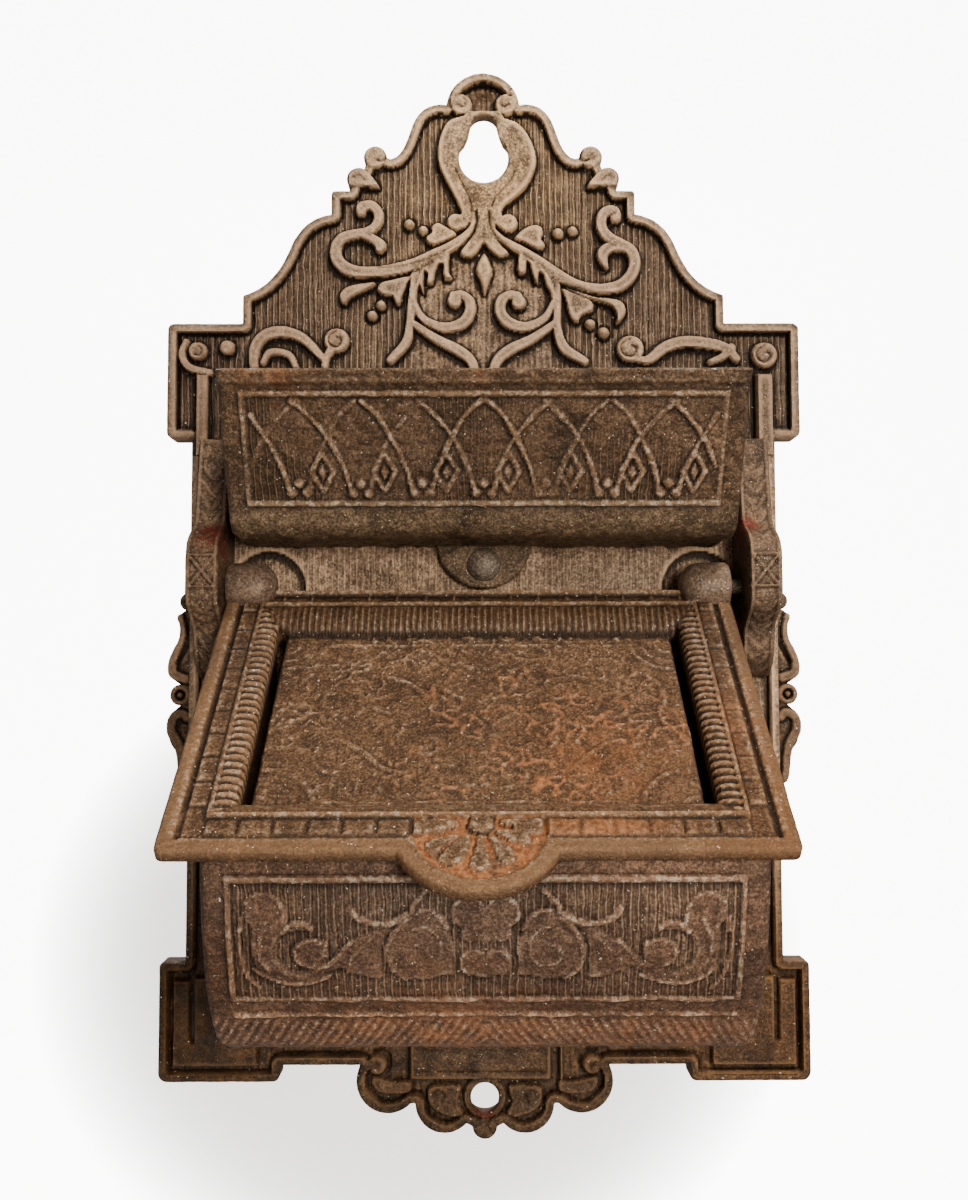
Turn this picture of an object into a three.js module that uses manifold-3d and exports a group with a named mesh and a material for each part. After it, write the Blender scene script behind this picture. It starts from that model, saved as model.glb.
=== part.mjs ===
// Wall match holder of cast iron. An ornamental back plate with two hinge cheeks carries an open pocket for
// burnt matches, a bow-fronted match box under it, and a sloping lid on two pins that falls shut by its weight.
// Millimetres. X runs across, Y towards the wall with the plate's rear face at y = 0, and Z up.
import * as THREE from "three";
import { mergeVertices } from "three/addons/utils/BufferGeometryUtils.js";
import Module from "manifold-3d";

const wasm = await Module();
wasm.setup();

// Driving dimensions
const TABS_HALF = 53.7;
const WAIST_HALF = 49.4;
const CREST_TOP = 92.65;
const FOOT_BOTTOM = -86.95;
const GROUND = 3.0;
const RIM = 4.2;
const RIM_WIDTH = 2.1;
const ORNAMENT = 4.6;

const CHEEK_INNER = 42.1;
const CHEEK_OUTER = 47.4;
const CHEEK_RELIEF = 0.9;

const HINGE_BACK = 8.5;
const HINGE_UP = 3.4;
const KNUCKLE_RADIUS = 4.0;
const PIN_RADIUS = 1.2;
const PIN_HOLE = 1.3;

const LID_SLOPE = THREE.MathUtils.degToRad(38.4);
const LID_SHIFT = -0.9;
const LID_HALF = 40.9;
const LID_REACH = 57.9;
const LID_THICK = 1.8;
const LID_TOP = -0.27;
const WELL_DEEP = 2.2;

const POCKET_HALF = 39.5;
const POCKET_FLOOR = 10.6;
const POCKET_TOP = 34.0;
const POCKET_REACH = 31.5;

const BOX_HALF = 36.8;
const BOX_FLOOR = -63.6;
const BOX_WALL = 2.0;

const RIVET_SHANK = 1.5;
const RIVET_HOLE = 1.6;

// Materials
function iron(color, roughness) {
  return new THREE.MeshStandardMaterial({ color, roughness, metalness: 0.6 });
}
const plateIron = iron(0x6b5442, 0.62);
const pocketIron = iron(0x4a3628, 0.66);
const boxIron = iron(0x553c33, 0.68);
const lidIron = iron(0x7a5c42, 0.55);
const rivetIron = iron(0x6e6152, 0.5);
const pinSteel = iron(0x5d5850, 0.4);

// Solids
function solid(geometry) {
  const bare = geometry.index ? geometry.toNonIndexed() : geometry.clone();
  bare.deleteAttribute("normal");
  bare.deleteAttribute("uv");
  const merged = mergeVertices(bare, 1e-4);
  return new wasm.Manifold(
    new wasm.Mesh({
      numProp: 3,
      vertProperties: merged.attributes.position.array,
      triVerts: Uint32Array.from(merged.index.array),
    }),
  );
}

function meshOf(name, body, material) {
  const { vertProperties, triVerts } = body.getMesh();
  const geometry = new THREE.BufferGeometry();
  geometry.setAttribute("position", new THREE.BufferAttribute(vertProperties, 3));
  geometry.setIndex(new THREE.BufferAttribute(triVerts, 1));
  geometry.computeVertexNormals();
  const mesh = new THREE.Mesh(geometry, material);
  mesh.name = name;
  return mesh;
}

function joined(bodies) {
  return bodies.reduce((whole, body) => whole.add(body));
}

function mirrored(body) {
  return body.mirror([1, 0, 0]);
}

function bothSides(body) {
  return body.add(mirrored(body));
}

// A shape drawn in (x, z) that stands from one distance in front of the wall to another
function forward(shape, from, to) {
  const geometry = new THREE.ExtrudeGeometry(shape, { depth: to - from, bevelEnabled: false, curveSegments: 6 });
  geometry.rotateX(Math.PI / 2);
  geometry.translate(0, -from, 0);
  return solid(geometry);
}

// A shape drawn in (distance from the wall, z) that runs across from one x to another
function across(shape, from, to) {
  const geometry = new THREE.ExtrudeGeometry(shape, { depth: to - from, bevelEnabled: false, curveSegments: 8 });
  const turn = new THREE.Matrix4().makeBasis(
    new THREE.Vector3(0, -1, 0),
    new THREE.Vector3(0, 0, 1),
    new THREE.Vector3(-1, 0, 0),
  );
  geometry.applyMatrix4(turn.setPosition(to, 0, 0));
  return solid(geometry);
}

function block(x0, x1, y0, y1, z0, z1) {
  const geometry = new THREE.BoxGeometry(x1 - x0, y1 - y0, z1 - z0);
  geometry.translate((x0 + x1) / 2, (y0 + y1) / 2, (z0 + z1) / 2);
  return solid(geometry);
}

// A turned body along X from a profile of [radius, x] pairs
function turnedAcross(profile, sides) {
  const points = profile.map(([radius, x]) => new THREE.Vector2(radius, x));
  const geometry = new THREE.LatheGeometry(points, sides);
  geometry.rotateZ(-Math.PI / 2);
  return solid(geometry);
}

// A turned body along Y from a profile of [radius, distance in front of the wall] pairs
function turnedForward(profile, sides) {
  const points = profile.map(([radius, out]) => new THREE.Vector2(radius, out));
  const geometry = new THREE.LatheGeometry(points, sides);
  geometry.rotateX(Math.PI);
  return solid(geometry);
}

function circle(x, z, radius) {
  return new THREE.Shape().absarc(x, z, radius, 0, Math.PI * 2, false);
}

function shapeThrough(points) {
  return new THREE.Shape(points.map(([x, z]) => new THREE.Vector2(x, z)));
}

function smooth(points, steps) {
  const curve = new THREE.SplineCurve(points.map(([x, z]) => new THREE.Vector2(x, z)));
  return curve.getPoints(steps);
}

// Distance from a point to a segment
function reach(p, a, b) {
  const along = b.clone().sub(a);
  const share = THREE.MathUtils.clamp(p.clone().sub(a).dot(along) / along.lengthSq(), 0, 1);
  return p.distanceTo(along.multiplyScalar(share).add(a));
}

// Where two straight edges, each a start and a way, would cross
function crossing(one, other) {
  const turn = one.way.cross(other.way);
  if (Math.abs(turn) < 1e-5) {
    return other.start.clone();
  }
  const along = other.start.clone().sub(one.start).cross(other.way) / turn;
  return one.way.clone().multiplyScalar(along).add(one.start);
}

// The outline moved inwards. Each edge moves by the distance and a sharp inside corner gets an edge across it.
// Edges that have shrunk to nothing are dropped, and so is a corner that some other stretch comes close to.
function inset(outline, distance) {
  const turn = THREE.ShapeUtils.isClockWise(outline) ? -1 : 1;
  const count = outline.length;
  const ways = outline.map((p, i) => outline[(i + 1) % count].clone().sub(p).normalize());
  const moved = (p, way) => ({ start: new THREE.Vector2(-way.y, way.x).multiplyScalar(turn * distance).add(p), way });
  const edges = [];
  outline.forEach((p, i) => {
    const before = ways[(i + count - 1) % count];
    if (before.dot(ways[i]) < 0.5 && before.cross(ways[i]) * turn < 0) {
      edges.push(moved(p, before.clone().add(ways[i]).normalize()));
    }
    edges.push(moved(p, ways[i]));
  });
  for (;;) {
    const corners = edges.map((edge, i) => crossing(edges[(i + edges.length - 1) % edges.length], edge));
    const lengths = edges.map((edge, i) => corners[(i + 1) % edges.length].clone().sub(corners[i]).dot(edge.way));
    const shortest = Math.min(...lengths);
    if (shortest > 0) {
      return corners.filter((p) => outline.every((a, i) => reach(p, a, outline[(i + 1) % count]) > distance * 0.95));
    }
    edges.splice(lengths.indexOf(shortest), 1);
  }
}

// Back plate
const DEG = Math.PI / 180;

// Right half of the plate's outline, from the top of the crest to the drop at the foot
function plateHalf() {
  const half = new THREE.Path();
  half.moveTo(0, CREST_TOP);
  half.absarc(0, CREST_TOP - 6.3, 6.3, 90 * DEG, 6 * DEG, true);
  half.bezierCurveTo(8.2, 87.4, 10.4, 86.9, 11.8, 84.2);
  half.bezierCurveTo(12.8, 82.0, 13.4, 77.9, 15.9, 77.5);
  half.absarc(18.5, 77.75, 2.0, 180 * DEG, -35 * DEG, true);
  half.absarc(21.4, 74.0, 2.0, 120 * DEG, -50 * DEG, true);
  half.lineTo(22.9, 71.9);
  half.absarc(25.4, 71.3, 0.6, 90 * DEG, 0, true);
  half.lineTo(26.0, 67.8);
  half.bezierCurveTo(29.3, 67.4, 31.6, 65.2, 32.8, 62.3);
  half.bezierCurveTo(34.2, 58.9, 36.0, 55.4, 40.4, 53.9);
  half.absarc(40.4, 53.3, 0.6, 90 * DEG, 0, true);
  half.lineTo(41.0, 48.8);
  half.absarc(TABS_HALF - 1.0, 47.8, 1.0, 90 * DEG, 0, true);
  half.absarc(TABS_HALF - 1.2, 30.2, 1.2, 0, -90 * DEG, true);
  half.lineTo(WAIST_HALF, 29.0);
  half.lineTo(WAIST_HALF, -58.3);
  half.absarc(TABS_HALF - 0.8, -59.1, 0.8, 90 * DEG, 0, true);
  half.absarc(TABS_HALF - 1.4, -76.3, 1.4, 0, -90 * DEG, true);
  half.absarc(34.9, -76.5, 1.2, -90 * DEG, -180 * DEG, true);
  half.lineTo(33.7, -75.0);
  half.absarc(15.9, -77.6, 5.2, 30 * DEG, -136 * DEG, true);
  half.absarc(6.6, -81.2, 4.8, 0, -138 * DEG, true);
  half.absarc(0, FOOT_BOTTOM + 2.0, 2.0, 0, -90 * DEG, true);
  return half.getPoints(5);
}

function mirroredOutline(half) {
  const other = half.slice(1, -1).map((p) => new THREE.Vector2(-p.x, p.y));
  return [...half, ...other.reverse()];
}

// Flat scrolls that stand out beyond the waist beside the box
function sideScrolls() {
  const lobe = smooth(
    [[48.5, -0.4], [51.6, -0.9], [51.2, -2.8], [51.4, -5.0], [52.5, -7.1], [53.3, -9.4], [52.7, -11.5], [48.5, -12.4]],
    18,
  );
  const hook = smooth(
    [[48.5, -16.2], [52.0, -16.8], [53.3, -19.4], [52.8, -22.1], [51.6, -24.3], [51.3, -27.4], [50.5, -29.2], [48.5, -32]],
    18,
  );
  return joined([
    forward(circle(49.9, 1.4, 1.5), 0, GROUND),
    forward(new THREE.Shape(lobe), 0, GROUND + 0.4),
    forward(circle(51.0, -14.3, 1.8), 0, GROUND + 0.4),
    forward(circle(51.0, -14.3, 0.8), 0, GROUND + 0.9),
    forward(new THREE.Shape(hook), 0, GROUND + 0.4),
  ]);
}

// A raised band that follows a smooth line and changes width along it
function band(points, widths, height, steps = 16) {
  const line = new THREE.SplineCurve(points.map(([x, z]) => new THREE.Vector2(x, z)));
  const left = [];
  const right = [];
  for (let i = 0; i <= steps; i++) {
    const t = i / steps;
    const place = t * (widths.length - 1);
    const low = Math.min(Math.floor(place), widths.length - 2);
    const width = THREE.MathUtils.lerp(widths[low], widths[low + 1], place - low);
    const here = line.getPoint(t);
    const way = line.getTangent(t);
    const side = new THREE.Vector2(-way.y, way.x).multiplyScalar(width / 2);
    left.push(here.clone().add(side));
    right.push(here.clone().sub(side));
  }
  return forward(new THREE.Shape([...left, ...right.reverse()]), GROUND - 0.5, height);
}

// Right half of the crest's raised scrollwork; the left half mirrors it
function crestOrnament() {
  const lyre = band(
    [[2.6, 84.6], [5.4, 83.0], [6.6, 79.6], [6.7, 76.6], [5.6, 73.2], [3.9, 70.4], [2.9, 67.6], [4.0, 65.8]],
    [1.6, 3.4, 4.4, 4.0, 3.2, 2.4, 2.0, 1.8],
    ORNAMENT,
  );
  const stem = band(
    [[0.6, 68.5], [3.0, 63.6], [7.6, 60.6], [13.4, 57.6], [19.0, 56.2], [23.8, 57.4], [25.4, 60.8], [23.4, 64.0]],
    [1.8, 2.0, 2.4, 2.4, 2.2, 2.2, 2.2, 2.2],
    ORNAMENT,
    20,
  );
  const curl = band(
    [[24.2, 63.2], [21.0, 65.0], [19.4, 67.4], [20.6, 69.6], [22.8, 69.0]],
    [2.2, 1.9, 1.6, 1.5, 1.6],
    ORNAMENT,
    12,
  );
  const hook = band([[24.4, 62.6], [21.9, 63.3], [19.6, 62.0], [20.2, 60.2]], [2.0, 2.0, 2.2, 1.6], ORNAMENT, 10);
  const fall = band(
    [[9.6, 59.4], [12.0, 56.0], [11.8, 51.0], [12.6, 46.0], [16.0, 43.0], [20.0, 42.8]],
    [1.6, 2.0, 2.2, 2.0, 2.0, 1.6],
    ORNAMENT,
    14,
  );
  const spiral = band(
    [[11.6, 53.4], [10.6, 49.8], [7.0, 48.2], [3.4, 49.6], [2.4, 52.6], [4.4, 54.6], [6.6, 53.6], [5.8, 51.9]],
    [1.0, 1.8, 2.0, 1.9, 1.8, 1.7, 1.6, 1.8],
    ORNAMENT,
    20,
  );
  const low = band([[12.2, 49.6], [8.4, 45.4], [4.2, 43.4], [0.4, 39.6]], [1.4, 1.9, 1.9, 1.2], ORNAMENT, 10);
  const shoulder = band(
    [[27.6, 42.6], [31.4, 45.2], [36.2, 46.6], [40.4, 44.8], [42.6, 41.6]],
    [1.6, 2.2, 2.4, 2.0, 1.4],
    ORNAMENT,
    12,
  );
  const heart = forward(
    new THREE.Shape(smooth([[4.6, 63.9], [8.0, 66.0], [10.2, 64.8], [10.2, 62.6], [8.0, 62.3], [4.6, 63.9]], 12)),
    GROUND - 0.5,
    ORNAMENT - 0.4,
  );
  const leaf = forward(
    new THREE.Shape(smooth([[13.6, 55.6], [17.4, 53.6], [18.6, 51.4], [16.0, 50.6], [14.4, 51.6], [13.6, 55.6]], 12)),
    GROUND - 0.5,
    ORNAMENT - 0.4,
  );
  const berries = [[12.6, 65.2, 1.0], [14.6, 65.8, 1.0], [17.9, 49.4, 1.0], [19.9, 48.3, 1.1]].map(([x, z, r]) =>
    forward(circle(x, z, r), GROUND - 0.5, ORNAMENT - 0.4),
  );
  const volutes = [[24.8, 44.6, 2.5], [48.4, 43.6, 2.4], [3.0, 86.9, 1.7]].map(([x, z, r]) =>
    forward(circle(x, z, r), GROUND - 0.5, ORNAMENT - 0.2),
  );
  return joined([lyre, stem, curl, hook, fall, spiral, low, shoulder, heart, leaf, ...berries, ...volutes]);
}

// Ornament on the plate's middle line
function middleOrnament() {
  const bud = band([[0, 72.4], [0, 69], [0, 65], [0, 60.6]], [0.8, 2.6, 4.4, 1.0], ORNAMENT, 10);
  const drop = shapeThrough([[0, 60.2], [1.6, 57.4], [0, 53.8], [-1.6, 57.4]]);
  const lily = band([[0, 47.6], [0, 44], [0, 40]], [3.6, 1.4, 2.4], ORNAMENT - 0.2, 8);
  return joined([bud, forward(drop, GROUND - 0.5, ORNAMENT - 0.3), lily]);
}

// Nested square frets on the lower tabs and the panel on the shoulder tab
function tabFrets() {
  const fret = [
    block(35.6, 37.0, -ORNAMENT, -GROUND + 0.5, -76.0, -64.4),
    block(48.6, 50.8, -ORNAMENT, -GROUND + 0.5, -74.8, -60.4),
    block(35.6, 50.8, -ORNAMENT, -GROUND + 0.5, -76.0, -74.6),
  ];
  const panel = block(46.2, 49.6, -ORNAMENT - 0.6, -GROUND + 0.5, 28.0, 40.0);
  return joined([...fret, panel]);
}

// Scrolls, hole boss and bare plaque along the foot
function footOrnament() {
  const ear = band([[18.9, -76.2], [19.9, -78.6], [18.4, -81.0], [15.6, -81.6], [13.0, -80.4]], [1.2, 1.5], RIM, 12);
  const lobe = band([[9.6, -80.2], [9.8, -82.6], [7.4, -84.6], [4.6, -84.4], [2.6, -83.6]], [1.2, 1.6], RIM, 12);
  const eye = forward(circle(16.6, -76.0, 1.9), GROUND - 0.5, RIM);
  const boss = forward(circle(0, -80.2, 3.8), GROUND - 0.5, RIM + 0.2);
  const plaque = block(-12.5, 12.5, -RIM - 0.6, -GROUND + 0.5, -77.4, -67.0);
  const plaqueField = block(-11.0, 11.0, -RIM - 1.0, -RIM + 0.1, -76.0, -68.2);
  return joined([bothSides(joined([ear, lobe, eye])), boss, plaque.subtract(plaqueField)]);
}

function cheek() {
  const side = new THREE.Shape();
  side.moveTo(GROUND - 0.5, 28.4);
  side.lineTo(6.4, 28.4);
  side.quadraticCurveTo(7.1, 28.4, 7.2, 27.4);
  side.lineTo(9.8, 14.4);
  side.bezierCurveTo(10.6, 12.0, 16.0, 12.4, 16.0, 7.6);
  side.lineTo(16.0, 2.6);
  side.bezierCurveTo(16.0, -1.6, 10.6, -1.6, 10.2, -4.4);
  side.lineTo(9.8, -7.0);
  side.bezierCurveTo(9.2, -10.2, 6.0, -11.4, GROUND - 0.5, -11.6);
  const whole = across(side, CHEEK_INNER, CHEEK_OUTER);
  const relief = block(CHEEK_INNER - 1, CHEEK_INNER + CHEEK_RELIEF, -18, -GROUND - 0.6, -2.0, 12.2);
  return whole.subtract(relief).subtract(pinHole(CHEEK_INNER - 1, CHEEK_OUTER + 1));
}

function pinHole(from, to) {
  const hole = turnedAcross([[0, from], [PIN_HOLE, from], [PIN_HOLE, to], [0, to]], 20);
  return hole.translate([0, -HINGE_BACK, HINGE_UP]);
}

function keyhole() {
  const hole = new THREE.Shape();
  hole.absarc(0.1, 77.4, 4.2, 130 * DEG, 410 * DEG, false);
  hole.lineTo(2.3, 82.6);
  hole.absarc(0.1, 82.9, 2.2, 0, 180 * DEG, false);
  return forward(hole, -1, ORNAMENT + 1);
}

// A shank hole with a countersink for the closed end at the rear face
function rivetHole(x, z) {
  const profile = [[0, -0.5], [3.0, -0.5], [RIVET_HOLE, 1.05], [RIVET_HOLE, ORNAMENT + 2], [0, ORNAMENT + 2]];
  return turnedForward(profile, 20).translate([x, 0, z]);
}

const pocketRivetAt = [0, 7.4];
const boxRivetsAt = [[-20, -54.5], [20, -54.5]];

function backPlate() {
  const half = plateHalf();
  const outline = mirroredOutline(half);
  const field = new THREE.Shape(inset(outline, RIM_WIDTH));
  const sheet = forward(new THREE.Shape(outline), 0, RIM).subtract(forward(field, GROUND, RIM + 1));
  const scrolls = bothSides(sideScrolls());
  const crest = bothSides(crestOrnament());
  const knuckleRecess = bothSides(forward(circle(36.4, 3.6, 6.4), GROUND - 0.8, GROUND + 1));
  let plate = joined([sheet, scrolls, crest, middleOrnament(), bothSides(tabFrets()), footOrnament()]);
  plate = plate.subtract(knuckleRecess).add(bothSides(cheek()));
  plate = plate.subtract(bothSides(block(CHEEK_INNER - 1.6, CHEEK_INNER, -8, -GROUND, -11.6, 28.4)));
  plate = plate.subtract(keyhole()).subtract(forward(circle(0, -80.2, 2.3), -1, RIM + 2));
  for (const [x, z] of [pocketRivetAt, ...boxRivetsAt]) {
    plate = plate.subtract(rivetHole(x, z));
  }
  return plate;
}

// Upper pocket
function pocketProfile() {
  const side = new THREE.Path();
  side.moveTo(GROUND, POCKET_FLOOR);
  side.lineTo(17.0, POCKET_FLOOR);
  side.quadraticCurveTo(20.2, POCKET_FLOOR + 0.2, 21.2, 13.4);
  side.lineTo(POCKET_REACH, POCKET_TOP - 0.8);
  side.quadraticCurveTo(POCKET_REACH + 0.1, POCKET_TOP, POCKET_REACH - 1.0, POCKET_TOP);
  side.lineTo(GROUND, POCKET_TOP);
  return side.getPoints(6);
}

function upperPocket() {
  const wall = 1.8;
  const outer = pocketProfile();
  const hollow = inset(outer, wall).map((p) => (p.y > POCKET_TOP - 4 ? new THREE.Vector2(p.x, POCKET_TOP + 3) : p));
  const inside = hollow.map((p) => (p.x < GROUND + 4 ? new THREE.Vector2(GROUND - 2, p.y) : p));
  const shell = across(new THREE.Shape(outer), -POCKET_HALF, POCKET_HALF).subtract(
    across(new THREE.Shape(inside), -POCKET_HALF + wall, POCKET_HALF - wall),
  );
  const lug = forward(circle(0, 11.4, 8.0), GROUND, GROUND + 2.2).subtract(
    block(-9, 9, -GROUND - 3, -GROUND + 1, POCKET_FLOOR + wall, 30),
  );
  return shell.add(lug).subtract(rivetHole(...pocketRivetAt)).subtract(pocketField());
}

// The front's sunk field, in the leaning plane of the front
function pocketField() {
  const lean = Math.atan2(POCKET_REACH - 21.2, POCKET_TOP - 0.8 - 13.4);
  const field = block(-35.8, 35.8, -0.6, 2, 2.9, 19.4);
  const geometryTurn = field.rotate([(lean * 180) / Math.PI, 0, 0]);
  return geometryTurn.translate([0, -21.2, 13.4]).subtract(block(-50, 50, -20, 20, -20, 5));
}

// Match box
function boxFront() {
  return smooth(
    [[28.0, BOX_FLOOR], [33.5, -62.9], [38.3, -60.6], [42.7, -56.0], [45.6, -51.3], [48.5, -43.6], [50.0, -35.7], [50.6, -26]],
    21,
  );
}

function boxProfile() {
  const front = boxFront();
  const foot = new THREE.Vector2(GROUND, BOX_FLOOR);
  const head = [new THREE.Vector2(50.6, 6), new THREE.Vector2(GROUND, 6)];
  return [foot, ...front, ...head];
}

// What lies above the box's mouth: the lid's underside, then the room for the knuckles
function aboveMouth() {
  const gap = 0.3;
  const below = LID_TOP - LID_THICK - gap;
  const up = Math.sin(LID_SLOPE);
  const level = Math.cos(LID_SLOPE);
  const along = (out) => HINGE_UP + ((HINGE_BACK + below * up - out) / level) * up + below * level;
  const rear = 10.9;
  const mouth = new THREE.Shape();
  mouth.moveTo(-1, along(rear));
  mouth.lineTo(rear, along(rear));
  mouth.lineTo(70, along(70));
  mouth.lineTo(70, 20);
  mouth.lineTo(-1, 20);
  return across(mouth, -60, 60);
}

function boxLug(x) {
  const lug = new THREE.Shape();
  lug.moveTo(x - 7, BOX_FLOOR + 1);
  lug.lineTo(x + 7, BOX_FLOOR + 1);
  lug.lineTo(x + 7, -55);
  lug.absarc(x, -55, 7, 0, Math.PI, false);
  return forward(lug, GROUND, GROUND + 2.2);
}

function boxBody() {
  const outer = boxProfile();
  const hollow = inset(outer, BOX_WALL).map((p) => (p.x < GROUND + 4 ? new THREE.Vector2(GROUND - 2, p.y) : p));
  const inside = hollow.map((p) => (p.y > 0 ? new THREE.Vector2(p.x, 12) : p));
  const shell = across(new THREE.Shape(outer), -BOX_HALF, BOX_HALF).subtract(
    across(new THREE.Shape(inside), -BOX_HALF + BOX_WALL, BOX_HALF - BOX_WALL),
  );
  const skin = across(new THREE.Shape(outer), -33.2, 33.2).subtract(
    across(new THREE.Shape(inset(outer, 0.6)), -34, 34),
  );
  const field = skin.intersect(block(-40, 40, -60, -35, -53.6, -36.6));
  let body = shell.subtract(field).subtract(aboveMouth());
  for (const [x, z] of boxRivetsAt) {
    body = body.add(boxLug(x)).subtract(rivetHole(x, z));
  }
  return body;
}

// Lid, drawn flat about the hinge axis: y runs up the slope to the rear and z is square to the lid
const LID_FRONT = -LID_REACH;
const WELL_FRONT = -51.6;
const WELL_REAR = -5.0;
const WELL_HALF = 34.7;
const ROLL = 3.4;
const REAR_ROLL = 5.2;

function flat(shape, low, high) {
  const geometry = new THREE.ExtrudeGeometry(shape, { depth: high - low, bevelEnabled: false, curveSegments: 10 });
  geometry.translate(0, 0, low);
  return solid(geometry);
}

// The sunk well inside a quarter-round roll, as rings of four corners going down
function well() {
  const steps = 5;
  const rings = [];
  for (let i = 0; i <= steps; i++) {
    const turn = (i / steps) * (Math.PI / 2);
    const inward = Math.sin(turn);
    const down = 1 - Math.cos(turn);
    const x = WELL_HALF - ROLL * inward;
    const y0 = WELL_FRONT + ROLL * inward;
    const y1 = WELL_REAR - REAR_ROLL * inward;
    rings.push([[x, y1], [-x, y1], [-x, y0], [x, y0]].map(([u, v]) => [u, v, LID_TOP - WELL_DEEP * down]));
  }
  rings.unshift(rings[0].map(([u, v]) => [u, v, LID_TOP + 2]));
  return stacked(rings);
}

// A closed body from four-cornered rings laid one under another
function stacked(rings) {
  const triangles = [];
  const push = (a, b, c) => triangles.push(...a, ...b, ...c);
  for (let i = 0; i + 1 < rings.length; i++) {
    for (let j = 0; j < 4; j++) {
      const k = (j + 1) % 4;
      push(rings[i][j], rings[i + 1][j], rings[i][k]);
      push(rings[i][k], rings[i + 1][j], rings[i + 1][k]);
    }
  }
  const top = rings[0];
  const bottom = rings[rings.length - 1];
  push(top[0], top[1], top[2]);
  push(top[0], top[2], top[3]);
  push(bottom[0], bottom[2], bottom[1]);
  push(bottom[0], bottom[3], bottom[2]);
  const geometry = new THREE.BufferGeometry();
  geometry.setAttribute("position", new THREE.Float32BufferAttribute(triangles, 3));
  return solid(geometry);
}

// Ribs across the side rolls
function rollRibs() {
  const proud = 0.25;
  const foot = LID_TOP - WELL_DEEP - proud;
  const rib = new THREE.Shape();
  rib.moveTo(WELL_HALF, LID_TOP);
  rib.bezierCurveTo(WELL_HALF - 1.9, LID_TOP, WELL_HALF - ROLL, LID_TOP - 0.9, WELL_HALF - ROLL - proud, foot);
  rib.lineTo(WELL_HALF - 1.6, foot);
  rib.lineTo(WELL_HALF, LID_TOP - 1.2);
  const ribs = [];
  const pitch = 1.45;
  const thick = 0.75;
  for (let y = WELL_FRONT + ROLL + 0.5; y < WELL_REAR - 4.4; y += pitch) {
    const geometry = new THREE.ExtrudeGeometry(rib, { depth: thick, bevelEnabled: false, curveSegments: 4 });
    geometry.rotateX(Math.PI / 2);
    geometry.translate(0, y + thick, 0);
    ribs.push(solid(geometry));
  }
  return joined(ribs);
}

// Small raised bricks round the band between rim and roll
function bricks() {
  const list = [];
  const length = 4.2;
  const pitch = 4.9;
  const top = LID_TOP - 0.1;
  for (let y = WELL_FRONT + 0.3; y + length < WELL_REAR + 4; y += pitch) {
    list.push(block(WELL_HALF + 0.5, WELL_HALF + 3.3, y, y + length, top - 1, top));
  }
  for (let x = 13.4; x + length < WELL_HALF + 1; x += pitch) {
    list.push(block(x, x + length, WELL_FRONT - 3.1, WELL_FRONT - 0.4, top - 1, top));
  }
  return joined(list);
}

function thumbTab() {
  const outer = new THREE.Shape().absarc(0, -53.1, 11.3, 0, Math.PI * 2, false);
  const inner = new THREE.Shape().absarc(0, -53.1, 8.9, 0, Math.PI * 2, false);
  const petals = [];
  for (let i = -2; i <= 2; i++) {
    const petal = new THREE.Shape(smooth([[0, 0.6], [0.5, -3], [1.35, -6.4], [0, -8.2], [-1.35, -6.4], [-0.5, -3], [0, 0.6]], 12));
    petals.push(flat(petal, LID_TOP - 1, LID_TOP - 0.15).rotate([0, 0, i * 33]).translate([0.1, -52.4, 0]));
  }
  const field = flat(inner, LID_TOP - 0.6, LID_TOP + 1);
  return { plate: flat(outer, LID_TOP - LID_THICK, LID_TOP), field, petals: joined(petals) };
}

function knuckle() {
  const inner = LID_HALF - 8.0;
  const round = 3.2;
  const profile = [[0, inner]];
  for (let i = 0; i <= 5; i++) {
    const turn = (i / 5) * (Math.PI / 2);
    profile.push([KNUCKLE_RADIUS - round + round * Math.sin(turn), inner + round - round * Math.cos(turn)]);
  }
  profile.push([KNUCKLE_RADIUS, LID_HALF], [0, LID_HALF]);
  return turnedAcross(profile, 24);
}

function lidBody() {
  const corner = 1.2;
  const sheet = new THREE.Shape();
  sheet.moveTo(-LID_HALF, -0.4);
  sheet.lineTo(-LID_HALF, LID_FRONT + corner);
  sheet.quadraticCurveTo(-LID_HALF, LID_FRONT, -LID_HALF + corner, LID_FRONT);
  sheet.lineTo(LID_HALF - corner, LID_FRONT);
  sheet.quadraticCurveTo(LID_HALF, LID_FRONT, LID_HALF, LID_FRONT + corner);
  sheet.lineTo(LID_HALF, -0.4);
  const underside = flat(shapeThrough([[-33.3, -50.4], [33.3, -50.4], [33.3, -8.0], [-33.3, -8.0]]), LID_TOP - 3.6, -1);
  const slot = block(30.3, 31.8, WELL_FRONT + ROLL, WELL_REAR - 4.0, -8, 0);
  const bandSunk = bothSides(block(WELL_HALF - 1, WELL_HALF + 3.6, WELL_FRONT - 3.4, -1.5, LID_TOP - 0.4, 1)).add(
    block(-WELL_HALF, WELL_HALF, WELL_FRONT - 3.4, WELL_FRONT + 1, LID_TOP - 0.4, 1),
  );
  const rearSunk = block(-WELL_HALF, WELL_HALF, WELL_REAR + 0.7, -1.2, LID_TOP - 0.5, 1);
  const lugRelief = flat(new THREE.Shape().absarc(-LID_SHIFT, 9.6, 12.2, 0, Math.PI * 2, false), LID_TOP - 0.9, 1);
  const tab = thumbTab();
  let lid = flat(sheet, LID_TOP - LID_THICK, LID_TOP).add(tab.plate).add(underside);
  lid = lid.subtract(bandSunk).subtract(rearSunk).subtract(lugRelief).subtract(well());
  lid = lid.add(bothSides(rollRibs())).subtract(bothSides(slot)).add(bothSides(bricks()));
  lid = lid.subtract(tab.field).add(tab.petals);
  const pinRoom = turnedAcross([[0, 34.4], [PIN_HOLE, 34.4], [PIN_HOLE, LID_HALF + 1], [0, LID_HALF + 1]], 20);
  return lid.add(bothSides(knuckle())).subtract(bothSides(pinRoom));
}

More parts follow.
